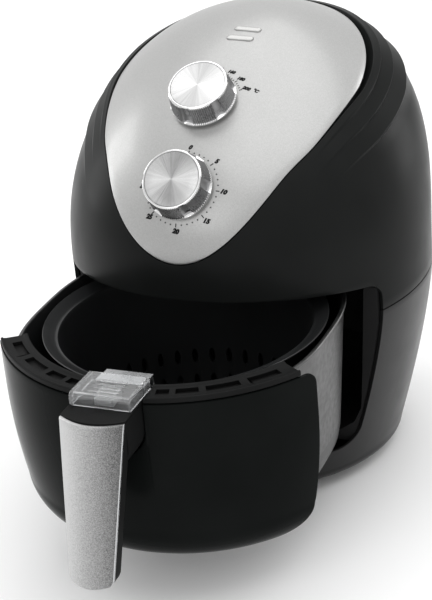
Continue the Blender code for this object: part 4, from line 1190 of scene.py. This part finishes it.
def pan():
    """Pressed steel pan: metal outside down to a set height, black coating on the outside below it as painted
    shade, dark coating inside, rolled rim.
    """
    wall = 1.5
    heights = [PAN_FLOOR, 40.4, 41.2, 42.5, 44.5, 47.0, 50.0, 54.0, 59.0, 66.0, 72.0, PAN_PAINTED_SHADE_Z,
               86.0, 96.0, 110.0, 125.0, 140.0, 150.0, 155.5]
    rows = [pan_loop(0.4, PAN_FLOOR), pan_loop(0.6, PAN_FLOOR)]
    rows += [pan_loop(pan_scale(z), z, -PAN_SLACK) for z in heights]
    # painted shade: outside rows below this one keep the black coating; from here up to the rim the outside
    # takes the metal finish
    painted_shade_end = len(rows) - 8
    rim = ((-PAN_SLACK, 156.3), (0.6, 156.6), (1.1, 157.2), (1.1, 158.0), (0.7, 158.55), (0.1, PAN_RIM),
           (-1.1, PAN_RIM), (-1.7, 158.2))
    rows += [pan_loop(1.0, z, extra) for extra, z in rim]
    outside = len(rows)
    rows += [pan_loop(pan_scale(z), max(z, PAN_FLOOR + wall), -PAN_SLACK - wall)
             for z in reversed(heights[2:])]
    rows += [pan_loop(0.55, PAN_FLOOR + wall), pan_loop(0.3, PAN_FLOOR + wall)]

    def finish_of(number, _):
        return 1 if painted_shade_end - 1 <= number < outside - 1 else 0

    made = sweep("deep_pan", rows, [NONSTICK, PAN_OUTSIDE], DRAWER_Y, closed=False, paint_rows=finish_of)
    return hand_over(made, "drawer", "nonstick_coating", "pan")


# ---------------------------------------------------------------- basket and handle

def pegs(name, places, radius, low, high, sides=20):
    """One cutter made of separate upright pegs about the basket's axis."""
    mesh = bmesh.new()
    for x, y in places:
        at = Vector((x, CHAMBER_Y + DRAWER_Y + y, (low + high) / 2)) * MM
        bmesh.ops.create_cone(mesh, cap_ends=True, segments=sides, radius1=radius * MM, radius2=radius * MM,
                              depth=(high - low) * MM, matrix=Matrix.Translation(at))
    return link(name, mesh, [NONSTICK])


def side_slots(name, count, half_angle, z, height):
    """One cutter for a ring of slots through the basket's side."""
    mesh = bmesh.new()
    for number in range(count):
        azimuth = 2 * math.pi * (number + 0.5) / count
        centre = Matrix.Translation(Vector((0, CHAMBER_Y + DRAWER_Y, 0)) * MM)
        turn = centre @ Matrix.Rotation(azimuth, 4, "Z")
        shape = turn @ Matrix.Translation(Vector((81.0, 0, z)) * MM) @ Matrix.Rotation(math.pi / 2, 4, "Y")
        size = Matrix.Diagonal((height / 2, half_angle, 9.0, 1.0))
        bmesh.ops.create_cone(mesh, cap_ends=True, segments=20, radius1=MM, radius2=MM, depth=2 * MM,
                              matrix=shape @ size)
    return link(name, mesh, [NONSTICK])


def basket():
    """Round perforated basket with a sloped collar, a foot ring and a rolled inner bead."""
    profile = [(1e-4, 50.0), (30.0, 50.0), (66.0, 50.0), (66.0, 42.6), (66.6, 42.0), (67.9, 42.0),
               (68.5, 42.6), (68.5, 50.0), (75.0, 50.0), (77.5, 51.1), (79.5, 54.5), (81.4, 80.0),
               (83.5, 112.0), (85.9, 146.0), (86.5, 149.6), (88.2, 152.0), (92.0, 153.9), (95.4, 155.2),
               (96.0, 155.8), (96.0, 156.5), (95.5, 156.8), (91.5, 154.9), (88.6, 153.4), (87.3, 153.0),
               (86.2, 152.9), (85.5, 152.2), (85.2, 150.8), (84.9, 149.0), (84.4, 146.0), (82.0, 112.0),
               (79.9, 80.0), (78.0, 55.2), (76.6, 52.6), (74.4, 51.5), (1e-4, 51.5)]
    made = turned("round_basket", profile, [NONSTICK], DRAWER_Y, 200, (0, CHAMBER_Y))
    places = [(0, 0)]
    for count, distance in ((6, 11.0), (12, 22.0), (18, 33.0), (24, 44.0), (30, 55.0)):
        places += arc((0, 0), distance, 0, 360, count)[:-1]
    cutters = [pegs("floor_holes", places, 2.5, 46.0, 56.0)]
    cutters.append(side_slots("low_slots", 40, 2.1, 66.0, 11.0))
    cutters.append(side_slots("high_slots", 40, 2.1, 86.0, 11.0))
    combine(made, cutters)
    return hand_over(made, "basket_unit", "nonstick_coating", "basket")


def grip_line(z):
    """Half-width, front edge and bulge of the handle at a height."""
    share = (z - GRIP_BOTTOM[1]) / (GRIP_TOP[1] - GRIP_BOTTOM[1])
    edge = GRIP_BOTTOM[0] + (GRIP_TOP[0] - GRIP_BOTTOM[0]) * share
    return 14.8 + 6.8 * share, edge, 5.0 + 2.2 * share


def grip_half_width(z):
    """Half-width of the handle, drawn in towards its rounded lower end."""
    return grip_line(z)[0] - 5.0 * max(0.0, 1 - (z - 57.4) / 6.0) ** 2.2


def grip_front(z, inset, trim=0.0, steps=28):
    """The handle's bowed front line at a height, left to right, set back by an inset."""
    _, edge, bulge = grip_line(z)
    half = grip_half_width(z) - trim
    points = []
    for step in range(steps + 1):
        share = 2 * step / steps - 1
        points.append(Vector((half * share, edge + inset - bulge * (1 - share * share), z)))
    return points


def handle_plate():
    """Silver plate on the front of the grip, with rolled edges; the right edge alone takes bright steel as a
    painted highlight.
    """
    rows = []
    low, high = 58.7, GRIP_TOP[1]
    ends = ((low, 0.9), (low + 0.15, 0.45), (low + 0.5, 0.12))
    heights = [z for z, _ in ends] + [60.2, 61.5, 63.0, 65.0, 68.0, 72.0]
    heights += [72.0 + (high - 73.0) * (step + 1) / 24 for step in range(23)]
    tops = ((high - 0.6, 0.08), (high - 0.2, 0.3), (high, 0.8))
    for z in heights + [z for z, _ in tops]:
        inset = dict(ends + tops).get(z, 0.0)
        front = grip_front(z, inset, 0.35)
        sides = [grip_front(z, inset + 0.35, 0.06)[0], grip_front(z, 0.9)[0], grip_front(z, 2.2)[0]]
        others = [grip_front(z, 2.2)[-1], grip_front(z, 0.9)[-1], grip_front(z, inset + 0.35, 0.06)[-1]]
        back = grip_front(z, 2.2, 1.0)
        rows.append(list(reversed(sides)) + front + list(reversed(others)) + list(reversed(back)))
    # painted highlight: only the columns of the right rolled edge (+X) take the bright steel finish; the left
    # edge keeps the plate's finish
    edge = range(len(sides) + len(front) - 1, 2 * len(sides) + len(front))

    def finish_of(_, index):
        return 1 if index in edge else 0

    made = sweep("silver_grip_plate", rows, [PLATE_PAINTED_SHADE, STEEL], DRAWER_Y, closed=False, paint_rows=finish_of)
    return hand_over(made, "basket_unit", "silver_lacquer", "handle_plate")


def handle_core():
    """Black grip behind the plate, joined to the U-shaped root that fills the notch."""
    rows = []
    heights = [57.4, 57.7, 58.4, 59.6, 61.0, 63.0, 66.0, 70.0]
    heights += [70.0 + 88.6 * (step + 1) / 20 for step in range(20)]
    insets = {57.4: 2.2, 57.7: 1.2, 58.4: 0.4}
    for z in heights:
        shrink = insets.get(z, 0.0)
        half = grip_half_width(z) - shrink * 0.5
        edge = grip_line(z)[1]
        back = edge + 15.5 - shrink
        round_right = arc((half - 6.0, back - 6.0), 6.0, 0, 90, 6)
        round_left = arc((6.0 - half, back - 6.0), 6.0, 90, 180, 6)
        front = grip_front(z, 2.5 + shrink, shrink * 0.5)
        rows.append(front + [Vector((x, y, z)) for x, y in round_right + round_left])
    made = sweep("black_grip", rows, [MATT], DRAWER_Y, closed=False)
    outline = notch_outline(NOTCH_HALF_WIDTH - 1.0, 158.6)
    root = block("grip_root", outline, -146.4, -109.7, MATT, "Y", DRAWER_Y)
    combine(made, [root], "UNION")
    wells = (("button_well", rounded(*BUTTON_HOLE), 144.2, 170.0),
             ("leg_well", rounded(-2.7, 2.7, -124.0, -117.2, 0.5), 127.4, 150.0),
             ("bolt_well", rounded(-3.7, 3.7, -133.0, -100.0, 0.5), 127.4, 132.7),
             ("lug_well", rounded(-3.7, 3.7, -133.0, -118.4, 0.5), 127.4, 140.4),
             ("spring_well", arc((0, -127.6), 3.4, 0, 360, 20)[:-1], 140.8, 150.0))
    combine(made, [block(*well, MATT, "Z", DRAWER_Y) for well in wells])
    soften(made, 0.6, 3, 50.0)
    return hand_over(made, "basket_unit", "dark_moulded_plastic", "handle_core")


def top_cap():
    """Thin cap on the handle, with a hole for the button."""
    front = [(point.x, point.y) for point in grip_front(158.9, 2.6)]
    outline = front + [(21.0, -112.0), (-21.0, -112.0)]
    made = block("grip_cap", outline, 158.9, 160.1, MATT, "Z", DRAWER_Y)
    hole = block("cap_hole", rounded(*BUTTON_HOLE), 150.0, 170.0, MATT, "Z", DRAWER_Y)
    combine(made, [hole])
    soften(made, 0.25, 2, 40.0)
    return hand_over(made, "basket_unit", "dark_moulded_plastic", "handle_top_cap")


def button_guard():
    """Clear sliding cover: a thin moulded hood with grip ribs on its roof."""
    outline = [(-136.6, 160.4), (-106.0, 160.4), (-106.0, 168.0)] + arc((-133.0, 165.2), 3.6, 88, 178, 8)
    made = block("clear_guard", outline, -20.5, 20.5, CLEAR, "X", DRAWER_Y)
    inside = [(-134.8, 150.0), (-100.0, 150.0), (-100.0, 166.9)] + arc((-132.8, 164.9), 2.0, 88, 178, 6)
    ribs = []
    for index in range(4):
        y = -131.2 + 4.4 * index
        outline = rounded(-10.5, 10.5, y, y + 1.8, 0.8)
        ribs.append(block(f"rib_{index}", outline, 167.8, 169.2, CLEAR, "Z", DRAWER_Y))
    combine(made, ribs, "UNION")
    combine(made, [block("guard_inside", inside, -18.7, 18.7, CLEAR, "X", DRAWER_Y)])
    soften(made, 0.35, 3, 40.0)
    return hand_over(made, "guard", "clear_plastic", "button_guard")


def release_button():
    """Ribbed button with the leg that works the latch bolt."""
    made = block("ribbed_button", rounded(-6.6, 6.6, -131.1, -116.9, 2.0), 148.0, 163.6, GREY, "Z", DRAWER_Y)
    ribs = []
    for index in range(4):
        y = -129.6 + 3.2 * index
        outline = rounded(-5.2, 5.2, y, y + 1.4, 0.6)
        ribs.append(block(f"button_rib_{index}", outline, 163.0, 164.2, GREY, "Z", DRAWER_Y))
    ribs.append(block("leg", rounded(-2.2, 2.2, -123.0, -118.0, 0.4), 135.6, 150.0, GREY, "Z", DRAWER_Y))
    combine(made, ribs, "UNION")
    soften(made, 0.3, 2, 40.0)
    return hand_over(made, "button", "light_grey_plastic", "release_button")


# ---------------------------------------------------------------- carried-over nodes and studio

def finish_nodes():
    """Every CAD node that still shows gets its procedural finish."""
    slots = {row["node"]: row["material_slot"] for row in frame["record"]["subparts"]}
    liners = ("drawer_bay", "chamber_frame", "drawer_switch")
    for name, node in frame["nodes"].items():
        finish = DARK if name in liners else SLOT_FINISH[slots[name]]
        node.data.materials.clear()
        node.data.materials.append(finish)


def lamp(name, size, energy, place, target):
    data = bpy.data.lights.new(name, "AREA")
    data.shape = "RECTANGLE"
    data.size, data.size_y = size
    data.energy = energy
    made = show(name, data)
    made.location = place
    made.rotation_euler = (Vector(target) - Vector(place)).to_track_quat("-Z", "Y").to_euler()


def studio():
    floor_mesh = bmesh.new()
    bmesh.ops.create_grid(floor_mesh, x_segments=2, y_segments=2, size=9.0)
    paint = Paint("studio_floor", (0.93, 0.93, 0.93), 0.7)
    paint.tint(paint.noise(3.0, 2.0), (0.92, 0.92, 0.92), (0.94, 0.94, 0.94))
    floor = link("studio_floor", floor_mesh, [paint.made])
    world = bpy.data.worlds.new("studio_air")
    bpy.context.scene.world = world
    world.use_nodes = True
    world.node_tree.nodes["Background"].inputs["Color"].default_value = (1.0, 1.0, 1.0, 1.0)
    world.node_tree.nodes["Background"].inputs["Strength"].default_value = 0.84
    bpy.context.scene.view_settings.view_transform = "Standard"
    aim = (0.0, 0.0, 0.15)
    lamp("overhead_softbox", (3.4, 2.6), 36.0, (0.2, 0.3, 2.4), aim)
    lamp("left_softbox", (0.6, 1.4), 8.0, (-1.9, 0.3, 0.8), aim)
    lamp("right_softbox", (0.5, 1.4), 10.0, (1.5, 1.7, 0.7), aim)
    lamp("front_fill", (1.8, 1.4), 8.0, (-0.3, -2.2, 1.7), aim)


def camera():
    """Camera at the photographed viewing angle: 24 degrees to the right, 26 above, slightly rolled."""
    turn, rise, roll = (math.radians(angle) for angle in (VIEW_TURN, VIEW_RISE, VIEW_ROLL))
    forward = Vector((-math.sin(turn) * math.cos(rise), math.cos(turn) * math.cos(rise), -math.sin(rise)))
    level = Vector((math.cos(turn), math.sin(turn), 0))
    upright = level.cross(forward)
    right = level * math.cos(roll) + upright * math.sin(roll)
    up = upright * math.cos(roll) - level * math.sin(roll)
    aim = Vector((19.16, BODY_Y - 115.6, 166.75))
    data = bpy.data.cameras.new("photo_camera")
    data.lens = VIEW_LENS
    data.sensor_width = 36.0
    data.clip_end = 50.0
    made = show("photo_camera", data)
    axes = Matrix((right, up, -forward)).transposed().to_4x4()
    made.matrix_world = Matrix.Translation((aim - forward * VIEW_DISTANCE) * MM) @ axes
    bpy.context.scene.camera = made


lenses = lens_frames()
finish_nodes()
upper_housing()
top_panel(lenses)
indicator_lenses(lenses)
knob("timer", TIMER_Z, 0.0)
knob("thermostat", THERMOSTAT_Z, 0.35)
timer_scale()
thermostat_scale()
lower_housing()
vent_grille()
cord_gland()
feet()
drawer_front()
drawer_ledge()
pan()
basket()
handle_plate()
handle_core()
top_cap()
button_guard()
release_button()
studio()
camera()
